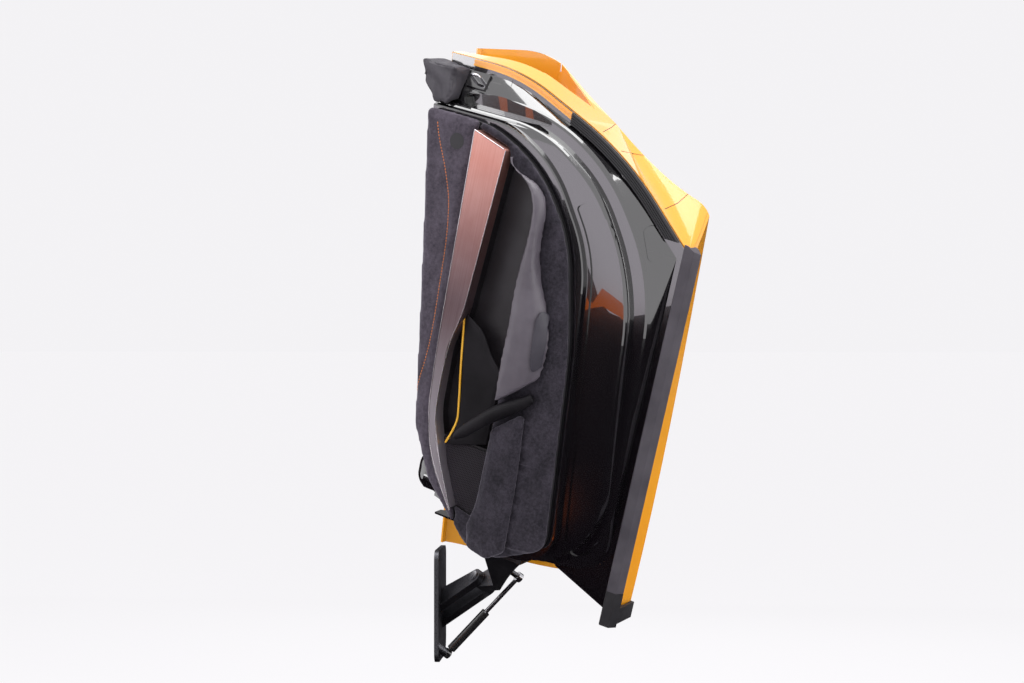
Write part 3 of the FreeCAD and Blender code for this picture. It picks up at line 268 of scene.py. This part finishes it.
def paint(name, deep, light):
    """Clear-coated body colour with a faint flake and dust."""
    made, tree, shader = material(name, Coat_Weight=1.0, Coat_Roughness=0.03)
    vector = shut_coordinates(tree)
    shade = ramp(tree, noise_node(tree, vector, 2.5, 2.0), 0.3, 0.7)
    flake = ramp(tree, noise_node(tree, vector, 2600.0, 1.0), 0.55, 0.75)
    colour = mix_colour(tree, shade, deep, light)
    colour = mix_colour(tree, math_node(tree, "MULTIPLY", flake, 0.10), colour, (1.0, 0.75, 0.35, 1))
    dust = use_group(tree, DUST, vector, Amount=0.10)
    colour = mix_colour(tree, dust.outputs["Mask"], colour, (0.7, 0.62, 0.5, 1))
    tree.links.new(colour, shader.inputs["Base Color"])
    roughness = math_node(tree, "ADD", math_node(tree, "MULTIPLY", dust.outputs["Mask"], 0.5), 0.24)
    tree.links.new(roughness, shader.inputs["Roughness"])
    bump(tree, shader, noise_node(tree, vector, 420.0, 2.0), 0.03, 0.0004)
    return made


def gloss(name, colour, rough=0.14):
    """Gloss black composite under clear coat, with a slight ripple."""
    made, tree, shader = material(name, Coat_Weight=1.0, Coat_Roughness=0.012, Coat_IOR=2.0,
                                  Specular_IOR_Level=1.0)
    vector = shut_coordinates(tree)
    dust = use_group(tree, DUST, vector, Amount=0.06)
    tree.links.new(mix_colour(tree, dust.outputs["Mask"], colour, (0.07, 0.065, 0.06, 1)),
                   shader.inputs["Base Color"])
    roughness = math_node(tree, "ADD", math_node(tree, "MULTIPLY", dust.outputs["Mask"], 0.5), rough)
    tree.links.new(roughness, shader.inputs["Roughness"])
    bump(tree, shader, noise_node(tree, vector, 30.0, 2.0), 0.08, 0.0010)
    return made


def suede(name, dark, light):
    """Brushed charcoal suede with soft mottling."""
    made, tree, shader = material(name, Roughness=0.95, Sheen_Weight=0.45, Sheen_Roughness=0.45,
                                  Specular_IOR_Level=0.12, Sheen_Tint=(0.66, 0.62, 0.72, 1))
    vector = shut_coordinates(tree)
    nap = use_group(tree, NAP, vector)
    tree.links.new(mix_colour(tree, nap.outputs["Shade"], dark, light), shader.inputs["Base Color"])
    first = node(tree, "ShaderNodeBump", Strength=0.35, Distance=0.0010)
    tree.links.new(nap.outputs["Shade"], first.inputs["Height"])
    bump(tree, shader, nap.outputs["Height"], 0.30, 0.0004, first.outputs["Normal"])
    return made


def hide(name, dark, light, rough=0.42, scale=620.0, depth=0.30, shine=0.5):
    """Fine-grained leather or moulded skin."""
    made, tree, shader = material(name, Specular_IOR_Level=shine)
    vector = shut_coordinates(tree)
    grain = use_group(tree, GRAIN, vector, Scale=scale)
    worn = ramp(tree, noise_node(tree, vector, 14.0, 3.0), 0.35, 0.7)
    tree.links.new(mix_colour(tree, worn, dark, light), shader.inputs["Base Color"])
    roughness = math_node(tree, "ADD", math_node(tree, "MULTIPLY", worn, 0.12), rough - 0.06)
    tree.links.new(roughness, shader.inputs["Roughness"])
    bump(tree, shader, grain.outputs["Height"], depth, 0.0003)
    return made


def metal(name, dark, light, rough=0.3, streak=(6.0, 900.0, 900.0)):
    """Metal with fine lines and small changes of shade."""
    made, tree, shader = material(name, Metallic=1.0)
    vector = shut_coordinates(tree)
    lines = noise_node(tree, stretched(tree, vector, streak), 1.0, 3.0)
    shade = math_node(tree, "MULTIPLY", lines, noise_node(tree, vector, 11.0, 3.0))
    tree.links.new(mix_colour(tree, ramp(tree, shade, 0.12, 0.42), dark, light), shader.inputs["Base Color"])
    roughness = math_node(tree, "ADD", math_node(tree, "MULTIPLY", lines, 0.16), rough - 0.08)
    tree.links.new(roughness, shader.inputs["Roughness"])
    bump(tree, shader, lines, 0.08, 0.0002)
    return made


def strip_with_painted_reflection():
    """Satin metal strip, brushed along its length, with a painted reflection of the orange body, salmon at
    the rear and fading to grey towards the front, and a painted silver highlight on its front part.
    """
    made, tree, shader = material("strip_painted_reflection", Metallic=0.85)
    vector = shut_coordinates(tree)
    split = node(tree, "ShaderNodeSeparateXYZ")
    tree.links.new(vector, split.inputs[0])
    reflection_fade = ramp(tree, split.outputs["Y"], -1.02, -0.72)
    lines = noise_node(tree, stretched(tree, vector, (900.0, 5.0, 900.0)), 1.0, 4.0)
    cloud = noise_node(tree, vector, 9.0, 3.0)
    # Painted reflection of the orange body: salmon at the rear, fading to grey towards the front
    darker_painted_reflection = mix_colour(tree, reflection_fade, (0.50, 0.21, 0.17, 1), (0.22, 0.14, 0.15, 1))
    lighter_painted_reflection = mix_colour(tree, reflection_fade, (0.62, 0.34, 0.29, 1), (0.34, 0.25, 0.27, 1))
    shade = ramp(tree, math_node(tree, "MULTIPLY", lines, cloud), 0.10, 0.42)
    # Painted highlight: the strip turns light silver towards its front part
    painted_highlight_share = ramp(tree, split.outputs["Y"], -0.68, -0.46)
    colour = mix_colour(tree, painted_highlight_share, mix_colour(tree, shade, darker_painted_reflection, lighter_painted_reflection), (0.66, 0.60, 0.66, 1))
    tree.links.new(colour, shader.inputs["Base Color"])
    roughness = math_node(tree, "ADD", math_node(tree, "MULTIPLY", lines, 0.14), 0.30)
    tree.links.new(roughness, shader.inputs["Roughness"])
    bump(tree, shader, lines, 0.10, 0.0002)
    return made


def perforated():
    """Dark sheet metal with staggered rows of small holes."""
    made, tree, shader = material("perforated_mesh", Metallic=0.8, Roughness=0.45)
    vector = shut_coordinates(tree)
    split = node(tree, "ShaderNodeSeparateXYZ")
    tree.links.new(vector, split.inputs[0])
    holes = []
    for shift in (0.0, 0.5):
        rows = math_node(tree, "DIVIDE", split.outputs["Z"], HOLE_PITCH * math.sqrt(3))
        rows = math_node(tree, "ADD", rows, shift)
        cols = math_node(tree, "DIVIDE", split.outputs["Y"], HOLE_PITCH)
        cols = math_node(tree, "ADD", cols, shift)
        across = math_node(tree, "SUBTRACT", math_node(tree, "FRACT", cols), 0.5)
        up = math_node(tree, "SUBTRACT", math_node(tree, "FRACT", rows), 0.5)
        up = math_node(tree, "MULTIPLY", up, math.sqrt(3))
        square = math_node(tree, "ADD", math_node(tree, "MULTIPLY", across, across),
                           math_node(tree, "MULTIPLY", up, up))
        holes.append(math_node(tree, "SQRT", square))
    solid = ramp(tree, math_node(tree, "MINIMUM", *holes), 0.22, 0.32)
    tree.links.new(mix_colour(tree, solid, (0.002, 0.002, 0.002, 1), (0.075, 0.068, 0.080, 1)),
                   shader.inputs["Base Color"])
    bump(tree, shader, solid, 0.8, 0.0010)
    return made


def tinted_glass():
    made, tree, shader = material("tinted_glass", Transmission_Weight=1.0, IOR=1.5,
                                  Base_Color=(0.35, 0.40, 0.40, 1))
    dust = use_group(tree, DUST, shut_coordinates(tree), Amount=0.3)
    roughness = math_node(tree, "ADD", math_node(tree, "MULTIPLY", dust.outputs["Mask"], 0.5), 0.02)
    tree.links.new(roughness, shader.inputs["Roughness"])
    return made


def reflector():
    made, tree, shader = material("mirror_reflector", Metallic=1.0, Base_Color=(0.80, 0.83, 0.86, 1))
    dust = use_group(tree, DUST, shut_coordinates(tree), Amount=0.25)
    roughness = math_node(tree, "ADD", math_node(tree, "MULTIPLY", dust.outputs["Mask"], 0.5), 0.03)
    tree.links.new(roughness, shader.inputs["Roughness"])
    return made


def thread(name, dark, light):
    """Twisted sewing thread."""
    made, tree, shader = material(name, Sheen_Weight=0.3)
    vector = shut_coordinates(tree)
    twist = noise_node(tree, vector, 1800.0, 2.0)
    tree.links.new(mix_colour(tree, twist, dark, light), shader.inputs["Base Color"])
    roughness = math_node(tree, "ADD", math_node(tree, "MULTIPLY", twist, 0.2), 0.45)
    tree.links.new(roughness, shader.inputs["Roughness"])
    bump(tree, shader, twist, 0.4, 0.0003)
    return made


PAINT = paint("orange_paint", (0.95, 0.37, 0.012, 1), (0.98, 0.42, 0.020, 1))
BLACK = gloss("gloss_black", (0.004, 0.0035, 0.0045, 1))
SUEDE = suede("charcoal_suede", (0.040, 0.034, 0.044, 1), (0.104, 0.088, 0.112, 1))
# A darker copy of the charcoal suede for the lower card and the front bolster: painted shade
PAINTED_SHADE_SUEDE = suede("shaded_suede", (0.011, 0.010, 0.013, 1), (0.046, 0.040, 0.052, 1))
ARM_HIDE = hide("satin_hide", (0.090, 0.078, 0.094, 1), (0.125, 0.110, 0.130, 1), rough=0.36)
DARK_HIDE = hide("dark_hide", (0.016, 0.013, 0.016, 1), (0.028, 0.024, 0.029, 1), rough=0.46)
INSET_HIDE = hide("inset_hide", (0.042, 0.038, 0.050, 1), (0.060, 0.054, 0.068, 1), rough=0.40)
FLAP_HIDE = hide("flap_hide", (0.006, 0.005, 0.007, 1), (0.012, 0.010, 0.013, 1),
                 rough=0.55, shine=0.22)
YELLOW_HIDE = hide("piping_hide", (0.85, 0.42, 0.02, 1), (0.95, 0.52, 0.04, 1),
                   rough=0.45, scale=900.0)
SEAL = hide("seal_rubber", (0.014, 0.013, 0.016, 1), (0.026, 0.024, 0.028, 1),
            rough=0.62, scale=900.0, depth=0.15)
EAR = hide("ear_rubber", (0.040, 0.036, 0.044, 1), (0.066, 0.060, 0.072, 1),
           rough=0.58, scale=900.0, depth=0.15)
SILL = hide("sill_rubber", (0.055, 0.048, 0.060, 1), (0.085, 0.076, 0.090, 1),
            rough=0.60, scale=800.0, depth=0.25)
PLASTIC = hide("grained_plastic", (0.012, 0.011, 0.013, 1), (0.022, 0.020, 0.024, 1),
               rough=0.55, scale=1100.0)
STRIP = strip_with_painted_reflection()
POLISHED = metal("polished_bevel", (0.62, 0.58, 0.60, 1), (0.92, 0.88, 0.90, 1), rough=0.24)
STEEL = metal("bright_steel", (0.45, 0.45, 0.47, 1), (0.75, 0.75, 0.78, 1), rough=0.22)
ALLOY = metal("cast_alloy", (0.10, 0.10, 0.11, 1), (0.22, 0.22, 0.24, 1),
              rough=0.45, streak=(300.0, 300.0, 300.0))
STRUT_PAINT = gloss("strut_paint", (0.012, 0.012, 0.012, 1), rough=0.3)
ORANGE_THREAD = thread("orange_thread", (0.80, 0.16, 0.01, 1), (1.0, 0.34, 0.04, 1))
MESH, GLASS, REFLECTOR = perforated(), tinted_glass(), reflector()

FINISH = {
    "hinge_bracket": ALLOY, "hinge_pin": STEEL, "strut_cylinder": STRUT_PAINT, "strut_rod": STEEL,
    "hinge_arm": ALLOY, "door_frame": BLACK, "lower_skin": PAINT, "wing_panel": PAINT, "channel_wall": PAINT,
    "rear_return": PAINT, "rear_hem": PAINT, "front_end_panel": BLACK, "duct_liner": PLASTIC,
    "front_lower_panel": BLACK, "sill_rubber": SILL, "sill_rear_cap": SILL, "sill_front_cap": SEAL,
    "door_seal": SEAL, "belt_seal_inner": SEAL, "belt_seal_outer": SEAL, "belt_corner_seal": SEAL,
    "window_glass": GLASS, "latch_plate": BLACK, "latch_loop": STEEL, "trim_carrier": PLASTIC,
    "upper_card": SUEDE, "lower_card": PAINTED_SHADE_SUEDE, "metal_strip": STRIP, "armrest": ARM_HIDE,
    "front_bolster": PAINTED_SHADE_SUEDE, "pull_handle": FLAP_HIDE, "pocket_liner": DARK_HIDE, "pocket_flap": FLAP_HIDE,
    "speaker_grille": MESH, "inset_pad": ARM_HIDE, "round_disc": PLASTIC, "mirror_arm": BLACK,
    "mirror_shell": BLACK, "mirror_glass": REFLECTOR,
}
for name, obj in nodes.items():
    obj.data.materials.clear()
    obj.data.materials.append(FINISH[name])


def rounded_edges(name, width):
    """Welds a CAD piece's loose triangles and takes the sharpness off its edges."""
    obj = nodes[name]
    weld = obj.modifiers.new("weld", "WELD")
    weld.merge_threshold = MERGE
    bevel = obj.modifiers.new("edges", "BEVEL")
    bevel.width, bevel.segments = width, 2
    bevel.limit_method, bevel.angle_limit = "ANGLE", math.radians(35)
    bevel.harden_normals = False


rounded_edges("metal_strip", 0.0018)
rounded_edges("sill_rubber", 0.0010)
rounded_edges("sill_rear_cap", 0.0010)


def only(obj):
    bpy.ops.object.select_all(action="DESELECT")
    obj.select_set(True)
    bpy.context.view_layer.objects.active = obj


def coordinates(obj):
    points = np.empty(len(obj.data.vertices) * 3)
    obj.data.vertices.foreach_get("co", points)
    return points.reshape(-1, 3)


def normals(obj):
    found = np.empty(len(obj.data.vertices) * 3)
    obj.data.vertices.foreach_get("normal", found)
    return found.reshape(-1, 3)


def set_coordinates(obj, points):
    obj.data.vertices.foreach_set("co", points.ravel())
    obj.data.update()


def shut_points(obj):
    turn = np.array(SHUT)
    return coordinates(obj) @ turn[:3, :3].T + turn[:3, 3]


def finish_piece(obj, name, finish, slot, *replaced):
    """Names a new piece, gives it its material and fixes it to the door."""
    obj.name = name
    obj.data.name = name
    obj.data.materials.clear()
    obj.data.materials.append(finish)
    only(obj)
    bpy.ops.object.shade_smooth()
    if replaced:
        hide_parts(*replaced)
    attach(obj, "door")


def inflate(obj, cap):
    """Blows the cover up a little from inside, with the side that is glued to its backing held."""
    start = coordinates(obj).copy()
    held = np.nonzero(normals(obj) @ np.array(INBOARD) < HELD_FACING)[0]
    group = obj.vertex_groups.new(name="held")
    group.add([int(i) for i in held], 1.0, "REPLACE")
    cloth = obj.modifiers.new("Cloth", "CLOTH")
    cloth.settings.quality = CLOTH_QUALITY
    cloth.settings.use_pressure = True
    cloth.settings.uniform_pressure_force = CLOTH_PRESSURE
    cloth.settings.vertex_group_mass = group.name
    cloth.settings.effector_weights.gravity = 0.0
    for step in range(1, CLOTH_FRAMES + 1):
        bpy.context.scene.frame_set(step)
    bpy.ops.object.modifier_apply(modifier=cloth.name)
    bpy.context.scene.frame_set(1)
    moved = coordinates(obj) - start
    length = np.linalg.norm(moved, axis=1, keepdims=True)
    set_coordinates(obj, start + moved * np.minimum(1.0, cap / np.maximum(length, 1e-9)))


def soft_piece(source, name, finish, slot, voxel, shrink, cap, smooth=2, finer=True):
    """A padded piece in the place of a plain soft solid. Voxel, shrink and cap are in metres."""
    obj = nodes[source].copy()
    obj.data = nodes[source].data.copy()
    bpy.context.scene.collection.objects.link(obj)
    obj.modifiers.clear()
    only(obj)
    obj.hide_render = False
    obj.hide_set(False)
    bpy.ops.object.mode_set(mode="EDIT")
    bpy.ops.mesh.select_all(action="SELECT")
    bpy.ops.mesh.remove_doubles(threshold=MERGE)
    bpy.ops.object.mode_set(mode="OBJECT")
    remesh = obj.modifiers.new("remesh", "REMESH")
    remesh.mode, remesh.voxel_size = "VOXEL", voxel
    bpy.ops.object.modifier_apply(modifier=remesh.name)
    bpy.ops.object.mode_set(mode="EDIT")
    bpy.ops.mesh.select_all(action="SELECT")
    bpy.ops.mesh.vertices_smooth(factor=0.5, repeat=smooth)
    bpy.ops.object.mode_set(mode="OBJECT")
    set_coordinates(obj, coordinates(obj) - normals(obj) * shrink)
    inflate(obj, cap)
    if finer:
        finer_mesh = obj.modifiers.new("finer", "SUBSURF")
        finer_mesh.levels = finer_mesh.render_levels = 1
        bpy.ops.object.modifier_apply(modifier=finer_mesh.name)
    finish_piece(obj, name, finish, slot, source)
    return obj


def smooth_line(corners, step):
    """Points at an even pitch along a smooth line through a few corners."""
    curve = bpy.data.curves.new("line", "CURVE")
    curve.dimensions, curve.resolution_u = "3D", 16
    spline = curve.splines.new("NURBS")
    spline.points.add(len(corners) - 1)
    for point, (y, z) in zip(spline.points, corners):
        point.co = (0.0, y, z, 1.0)
    spline.order_u, spline.use_endpoint_u = min(3, len(corners)), True
    holder = bpy.data.objects.new("line", curve)
    mesh = bpy.data.meshes.new_from_object(holder)
    raw = np.array([v.co[:] for v in mesh.vertices])[:, 1:]
    bpy.data.objects.remove(holder)
    bpy.data.meshes.remove(mesh)
    bpy.data.curves.remove(curve)
    along = np.concatenate([[0.0], np.cumsum(np.linalg.norm(np.diff(raw, axis=0), axis=1))])
    spots = np.arange(0.0, along[-1], step)
    return np.column_stack([np.interp(spots, along, raw[:, 0]), np.interp(spots, along, raw[:, 1])])


def surface_of(*objects):
    """Search tree over the finished surfaces of the named pieces."""
    corners, faces = [], []
    for obj in objects:
        start = len(corners)
        corners += [tuple(v.co) for v in obj.data.vertices]
        faces += [[start + i for i in p.vertices] for p in obj.data.polygons]
    return BVHTree.FromPolygons(corners, faces)


def on_surface(tree, y, z):
    """Where a line square to the shut door meets a surface, coming from the cabin: point and normal."""
    point, normal, _, _ = tree.ray_cast(OPEN @ Vector((CABIN_X, y, z)), -INBOARD)
    return point, normal


def level_line(corners, x):
    """A smooth line at one level across the door."""
    return [OPEN @ Vector((x, y, z)) for y, z in smooth_line(corners, LEVEL_LINE_STEP)]


def bead(name, points, radius, finish, slot):
    """A round bead or a piping along points in space."""
    curve = bpy.data.curves.new(name, "CURVE")
    curve.dimensions, curve.resolution_u = "3D", 2
    curve.bevel_depth, curve.bevel_resolution, curve.use_fill_caps = radius, 3, True
    spline = curve.splines.new("NURBS")
    spline.points.add(len(points) - 1)
    for point, spot in zip(spline.points, points):
        point.co = (*spot, 1.0)
    spline.order_u, spline.use_endpoint_u = 3, True
    obj = bpy.data.objects.new(name, curve)
    bpy.context.scene.collection.objects.link(obj)
    only(obj)
    bpy.ops.object.convert(target="MESH")
    finish_piece(bpy.context.object, name, finish, slot)


def sewn(name, tree, line, finish, slot):
    """Stitches along a line: one is shaped, with its ends dipping into the cover, and copied."""
    bpy.ops.object.select_all(action="DESELECT")
    bpy.ops.mesh.primitive_uv_sphere_add(segments=8, ring_count=6, radius=1.0, location=(0, 0, 0))
    first = bpy.context.object
    shape = coordinates(first)
    shape[:, 0] *= STITCH_LENGTH / 2
    shape[:, 1] *= STITCH_RADIUS
    shape[:, 2] *= STITCH_RADIUS
    shape[:, 2] -= STITCH_RADIUS * 1.2 * (shape[:, 0] / (STITCH_LENGTH / 2)) ** 4
    set_coordinates(first, shape)
    copies = []
    for (y0, z0), (y1, z1) in zip(line[:-1], line[1:]):
        start, normal = on_surface(tree, y0, z0)
        end, _ = on_surface(tree, y1, z1)
        if start is None or end is None or (end - start).length > 3 * STITCH_LENGTH:
            continue
        way = (end - start).normalized()
        up = (normal - way * normal.dot(way)).normalized()
        side = up.cross(way)
        place = Matrix((way, side, up)).transposed().to_4x4()
        place.translation = (start + end) / 2 + up * STITCH_RADIUS * 0.5
        copy = first.copy()
        copy.data = first.data.copy()
        copy.data.transform(place)
        bpy.context.scene.collection.objects.link(copy)
        copies.append(copy)
    bpy.data.objects.remove(first)
    bpy.ops.object.select_all(action="DESELECT")
    for copy in copies:
        copy.select_set(True)
    bpy.context.view_layer.objects.active = copies[0]
    bpy.ops.object.join()
    finish_piece(bpy.context.object, name, finish, slot)


def distance_to(points, line):
    """Distance of side-view points from a line of points, and how far along it each lies."""
    best = np.full(len(points), 1e9)
    along = np.zeros(len(points))
    run = 0.0
    for a, b in zip(line[:-1], line[1:]):
        way = b - a
        size = np.linalg.norm(way)
        share = np.clip((points - a) @ way / size ** 2, 0.0, 1.0)
        apart = np.linalg.norm(points - a - share[:, None] * way, axis=1)
        nearer = apart < best
        best[nearer] = apart[nearer]
        along[nearer] = run + share[nearer] * size
        run += size
    return best, along


def press_line(obj, line):
    """Pulls the cover in along a sewn line."""
    side = shut_points(obj)[:, 1:]
    apart, _ = distance_to(side, line[::3])
    faces_cabin = np.clip(normals(obj) @ np.array(INBOARD), 0.0, 1.0)
    pull = STITCH_PRESS * np.exp(-(apart / STITCH_PRESS_WIDTH) ** 2) * faces_cabin
    set_coordinates(obj, coordinates(obj) - np.array(INBOARD) * pull[:, None])


def pucker(obj, line):
    """Small folds that run away from a tight seam and die out."""
    side = shut_points(obj)[:, 1:]
    apart, along = distance_to(side, line[::3])
    wander = 0.35 * np.sin(along * 41.0) + 0.25 * np.sin(along * 97.0 + 1.3)
    fold = 1.0 - 2.0 * np.abs(np.sin(np.pi * along / PUCKER_PITCH + wander * 2.0 + apart * 9.0)) ** 0.6
    strength = PUCKER_HEIGHT * (0.55 + 0.45 * np.sin(along * 63.0 + 0.8))
    faces_cabin = np.clip(normals(obj) @ np.array(INBOARD), 0.0, 1.0)
    rise = strength * fold * np.exp(-apart / PUCKER_REACH) * faces_cabin
    set_coordinates(obj, coordinates(obj) + np.array(INBOARD) * rise[:, None])


stitch_path = smooth_line(STITCH_LINE, STITCH_PITCH)
upper = soft_piece("upper_card", "upper_suede_card", SUEDE, "suede",
                   voxel=0.006, shrink=0.0016, cap=0.0022)
press_line(upper, stitch_path)
lower = soft_piece("lower_card", "lower_suede_card", PAINTED_SHADE_SUEDE, "suede",
                   voxel=0.006, shrink=0.0016, cap=0.0022)
pucker(lower, smooth_line(BOLSTER_SEAM, SEAM_STEP))
soft_piece("armrest", "armrest_cover", ARM_HIDE, "hide",
           voxel=0.005, shrink=0.0020, cap=0.0030)
soft_piece("front_bolster", "bolster_cover", PAINTED_SHADE_SUEDE, "suede",
           voxel=0.004, shrink=0.0020, cap=0.0035)
soft_piece("pull_handle", "handle_cover", FLAP_HIDE, "hide",
           voxel=0.003, shrink=0.0012, cap=0.0018)
soft_piece("pocket_flap", "flap_cover", FLAP_HIDE, "hide",
           voxel=0.0020, shrink=0.0004, cap=0.0009, finer=False)
soft_piece("inset_pad", "inset_cover", INSET_HIDE, "hide",
           voxel=0.0012, shrink=0.0002, cap=0.0006, finer=False)

sewn("orange_stitching", surface_of(upper), stitch_path, ORANGE_THREAD, "suede")


def wrinkled_block():
    """The soft end block of the belt: a moulded ear whose loose skin lies in slanting folds."""
    top_reach, top_drop = 0.10, 0.010
    rear_reach, rear_pull = 0.06, 0.012
    fold_start, fold_fade, fold_depth = 0.205, 0.030, 0.0022
    obj = soft_piece("belt_corner_seal", "belt_ear", EAR, "seal",
                     voxel=0.003, shrink=0.002, cap=0.002, smooth=4)
    shut = shut_points(obj)
    top, rear = shut[:, 2].max(), shut[:, 1].min()
    pinch = np.clip((shut[:, 2] - (top - top_reach)) / top_reach, 0.0, 1.0)
    shut[:, 2] -= top_drop * pinch
    shut[:, 1] += rear_pull * np.clip((rear + rear_reach - shut[:, 1]) / rear_reach, 0.0, 1.0)
    slant = shut[:, 2] * 0.8 + shut[:, 1] * 0.6
    cross = shut[:, 1] * 0.8 - shut[:, 2] * 0.6
    wave = np.sin(slant * 150.0 + 2.2 * np.sin(cross * 40.0) + shut[:, 0] * 40.0)
    wave += 0.35 * np.sin(slant * 290.0 - cross * 90.0 + 1.1)
    fade = np.clip((shut[:, 2] - fold_start) / fold_fade, 0.0, 1.0)
    turn = np.array(OPEN)
    points = shut @ turn[:3, :3].T + turn[:3, 3]
    set_coordinates(obj, points + normals(obj) * (fold_depth * (wave - 1.0) * fade)[:, None])


wrinkled_block()
bead("yellow_piping", level_line(PIPING_LINE, PIPING_X), PIPING_RADIUS, YELLOW_HIDE, "hide")
for i, edge in enumerate(STRIP_EDGES):
    line = level_line(edge, STRIP_EDGE_X)
    bead(f"strip_bevel_{i}", line, STRIP_BEVEL_RADIUS, POLISHED, "strip")


def camera_ray(px, py):
    """Direction from the camera through a place in the picture."""
    across = (px - PICTURE[0] / 2) / PICTURE[0] * SENSOR / LENS
    up = (PICTURE[1] / 2 - py) / PICTURE[0] * SENSOR / LENS
    return (Matrix.Rotation(CAMERA_TURN, 3, "Z") @ Vector((across, 1.0, up))).normalized()


def camera_line(tree, places, lift):
    """Points where the camera sees a line of picture places on a surface, raised by lift."""
    found = []
    for (x0, y0), (x1, y1) in zip(places[:-1], places[1:]):
        for share in np.linspace(0.0, 1.0, 6):
            way = camera_ray(x0 + (x1 - x0) * share, y0 + (y1 - y0) * share)
            point, normal, _, _ = tree.ray_cast(CAMERA_AT, way)
            if point is not None:
                found.append(point + normal * lift)
    return found


body_tree = surface_of(nodes["rear_return"], nodes["wing_panel"], nodes["lower_skin"])
# Thin dark beads of seal rubber along the rear return's creases: painted shade lines
for i, places in enumerate(RETURN_CREASE_SHADE_LINES):
    points = camera_line(body_tree, places, -CREASE_SHADE_SINK)
    if len(points) > 3:
        bead(f"return_crease_shade_{i}", points, CREASE_SHADE_RADIUS, SEAL, "seal")


def seen_directly(tree):
    """1 for rays from the camera, through glass and in reflections, 0 for the light on the object."""
    path = node(tree, "ShaderNodeLightPath").outputs
    seen = math_node(tree, "ADD", path["Is Camera Ray"], path["Is Transmission Ray"], clamp=True)
    return math_node(tree, "ADD", seen, path["Is Glossy Ray"], clamp=True)


def pale_surface(name, colour):
    """Backdrop white for the camera and in reflections, plain pale grey for the light that it throws."""
    made, tree, shader = material(name, Base_Color=colour, Roughness=0.9)
    glow = node(tree, "ShaderNodeEmission")
    glow.inputs["Color"].default_value = FLOOR_GLOW
    mixed = node(tree, "ShaderNodeMixShader")
    tree.links.new(math_node(tree, "MULTIPLY", seen_directly(tree), GLOW_SHARE), mixed.inputs[0])
    tree.links.new(shader.outputs[0], mixed.inputs[1])
    tree.links.new(glow.outputs[0], mixed.inputs[2])
    tree.links.new(mixed.outputs[0], tree.nodes["Material Output"].inputs["Surface"])
    return made


bpy.ops.object.select_all(action="DESELECT")
bpy.ops.mesh.primitive_plane_add(size=400.0, location=(0, 0, FLOOR_Z))
floor = bpy.context.object
floor.name = "floor"
floor.data.materials.append(pale_surface("pale_floor", PALE_FLOOR))


def mirrored(px, py, reach):
    """What a place on the inner frame reflects towards the camera, reach metres away from it."""
    way = camera_ray(px, py)
    plane = OPEN @ Vector((FRAME_FACE_X, 0.0, 0.0))
    spot = CAMERA_AT + way * ((plane - CAMERA_AT).dot(INBOARD) / way.dot(INBOARD))
    return spot + way.reflect(INBOARD) * reach


def reflected_card(name, corners, colour):
    """A studio card that only reflections see."""
    mesh = bpy.data.meshes.new(name)
    mesh.from_pydata(corners, [], [range(len(corners))])
    card = bpy.data.objects.new(name, mesh)
    bpy.context.scene.collection.objects.link(card)
    made, tree, shader = material(name, Base_Color=(0.0, 0.0, 0.0, 1), Roughness=1.0, Specular_IOR_Level=0.0)
    shader.inputs["Emission Color"].default_value = colour
    shader.inputs["Emission Strength"].default_value = 1.0
    card.data.materials.append(made)
    card.visible_camera = card.visible_diffuse = card.visible_shadow = False
    card.visible_transmission = card.visible_volume_scatter = False


def cut_card(name, outline, reach, colour):
    """A card cut to the outline that its reflection has in the inner frame."""
    reflected_card(name, [mirrored(px, py, reach) for px, py in outline], colour)


cut_card("bright_card", BRIGHT_REFLECTION, BRIGHT_REACH, CARD_BRIGHT)
for i, outline in enumerate(DARK_REFLECTIONS):
    cut_card(f"black_flag_{i}", outline, FLAG_REACH, CARD_BLACK)
for i, outline in enumerate(ORANGE_REFLECTIONS):
    cut_card(f"orange_card_{i}", outline, ORANGE_REACH, CARD_ORANGE)

flag_z = FLOOR_Z + 0.01
reflected_card("floor_flag", [(-4, -3.6, flag_z), (4, -3.6, flag_z), (4, 4, flag_z), (-4, 4, flag_z)],
               CARD_DARK)
reflected_card("back_flag", [(-3, 2.6, FLOOR_Z), (3, 2.6, FLOOR_Z), (3, 2.6, 2.4), (-3, 2.6, 2.4)],
               CARD_DARK)

world = bpy.data.worlds.new("studio")
bpy.context.scene.world = world
world.use_nodes = True
sky = world.node_tree
backdrop = sky.nodes["Background"]
split = node(sky, "ShaderNodeSeparateXYZ")
sky.links.new(node(sky, "ShaderNodeTexCoord").outputs["Generated"], split.inputs[0])
room = mix_colour(sky, ramp(sky, split.outputs["Z"], -0.15, 0.75), ROOM_LOW, ROOM_HIGH)
sky.links.new(mix_colour(sky, seen_directly(sky), room, BACKDROP), backdrop.inputs["Color"])


def soft_light(name, size, watts, at):
    """A softbox that points at the middle of the object and stays out of the camera's view."""
    lamp = bpy.data.lights.new(name, "AREA")
    lamp.shape, lamp.size, lamp.size_y = "RECTANGLE", size[0], size[1]
    lamp.energy = watts
    obj = bpy.data.objects.new(name, lamp)
    bpy.context.scene.collection.objects.link(obj)
    obj.location = at
    obj.rotation_euler = (OBJECT_MIDDLE - Vector(at)).to_track_quat("-Z", "Y").to_euler()
    obj.visible_camera = False


soft_light("top_softbox", (3.0, 2.2), 80.0, (0.6, -0.9, 3.3))
soft_light("left_softbox", (1.0, 1.7), 16.0, (-1.75, -1.55, 1.05))
soft_light("right_softbox", (1.6, 3.0), 34.0, (3.0, -1.6, 1.3))
soft_light("back_softbox", (3.4, 3.2), 24.0, (0.4, 3.0, 1.8))

camera = bpy.data.cameras.new("camera")
camera.lens, camera.sensor_width = LENS, SENSOR
camera_object = bpy.data.objects.new("camera", camera)
bpy.context.scene.collection.objects.link(camera_object)
camera_object.location = CAMERA_AT
camera_object.rotation_euler = (math.radians(90), 0, CAMERA_TURN)
bpy.context.scene.camera = camera_object
bpy.context.scene.view_settings.view_transform = "Standard"
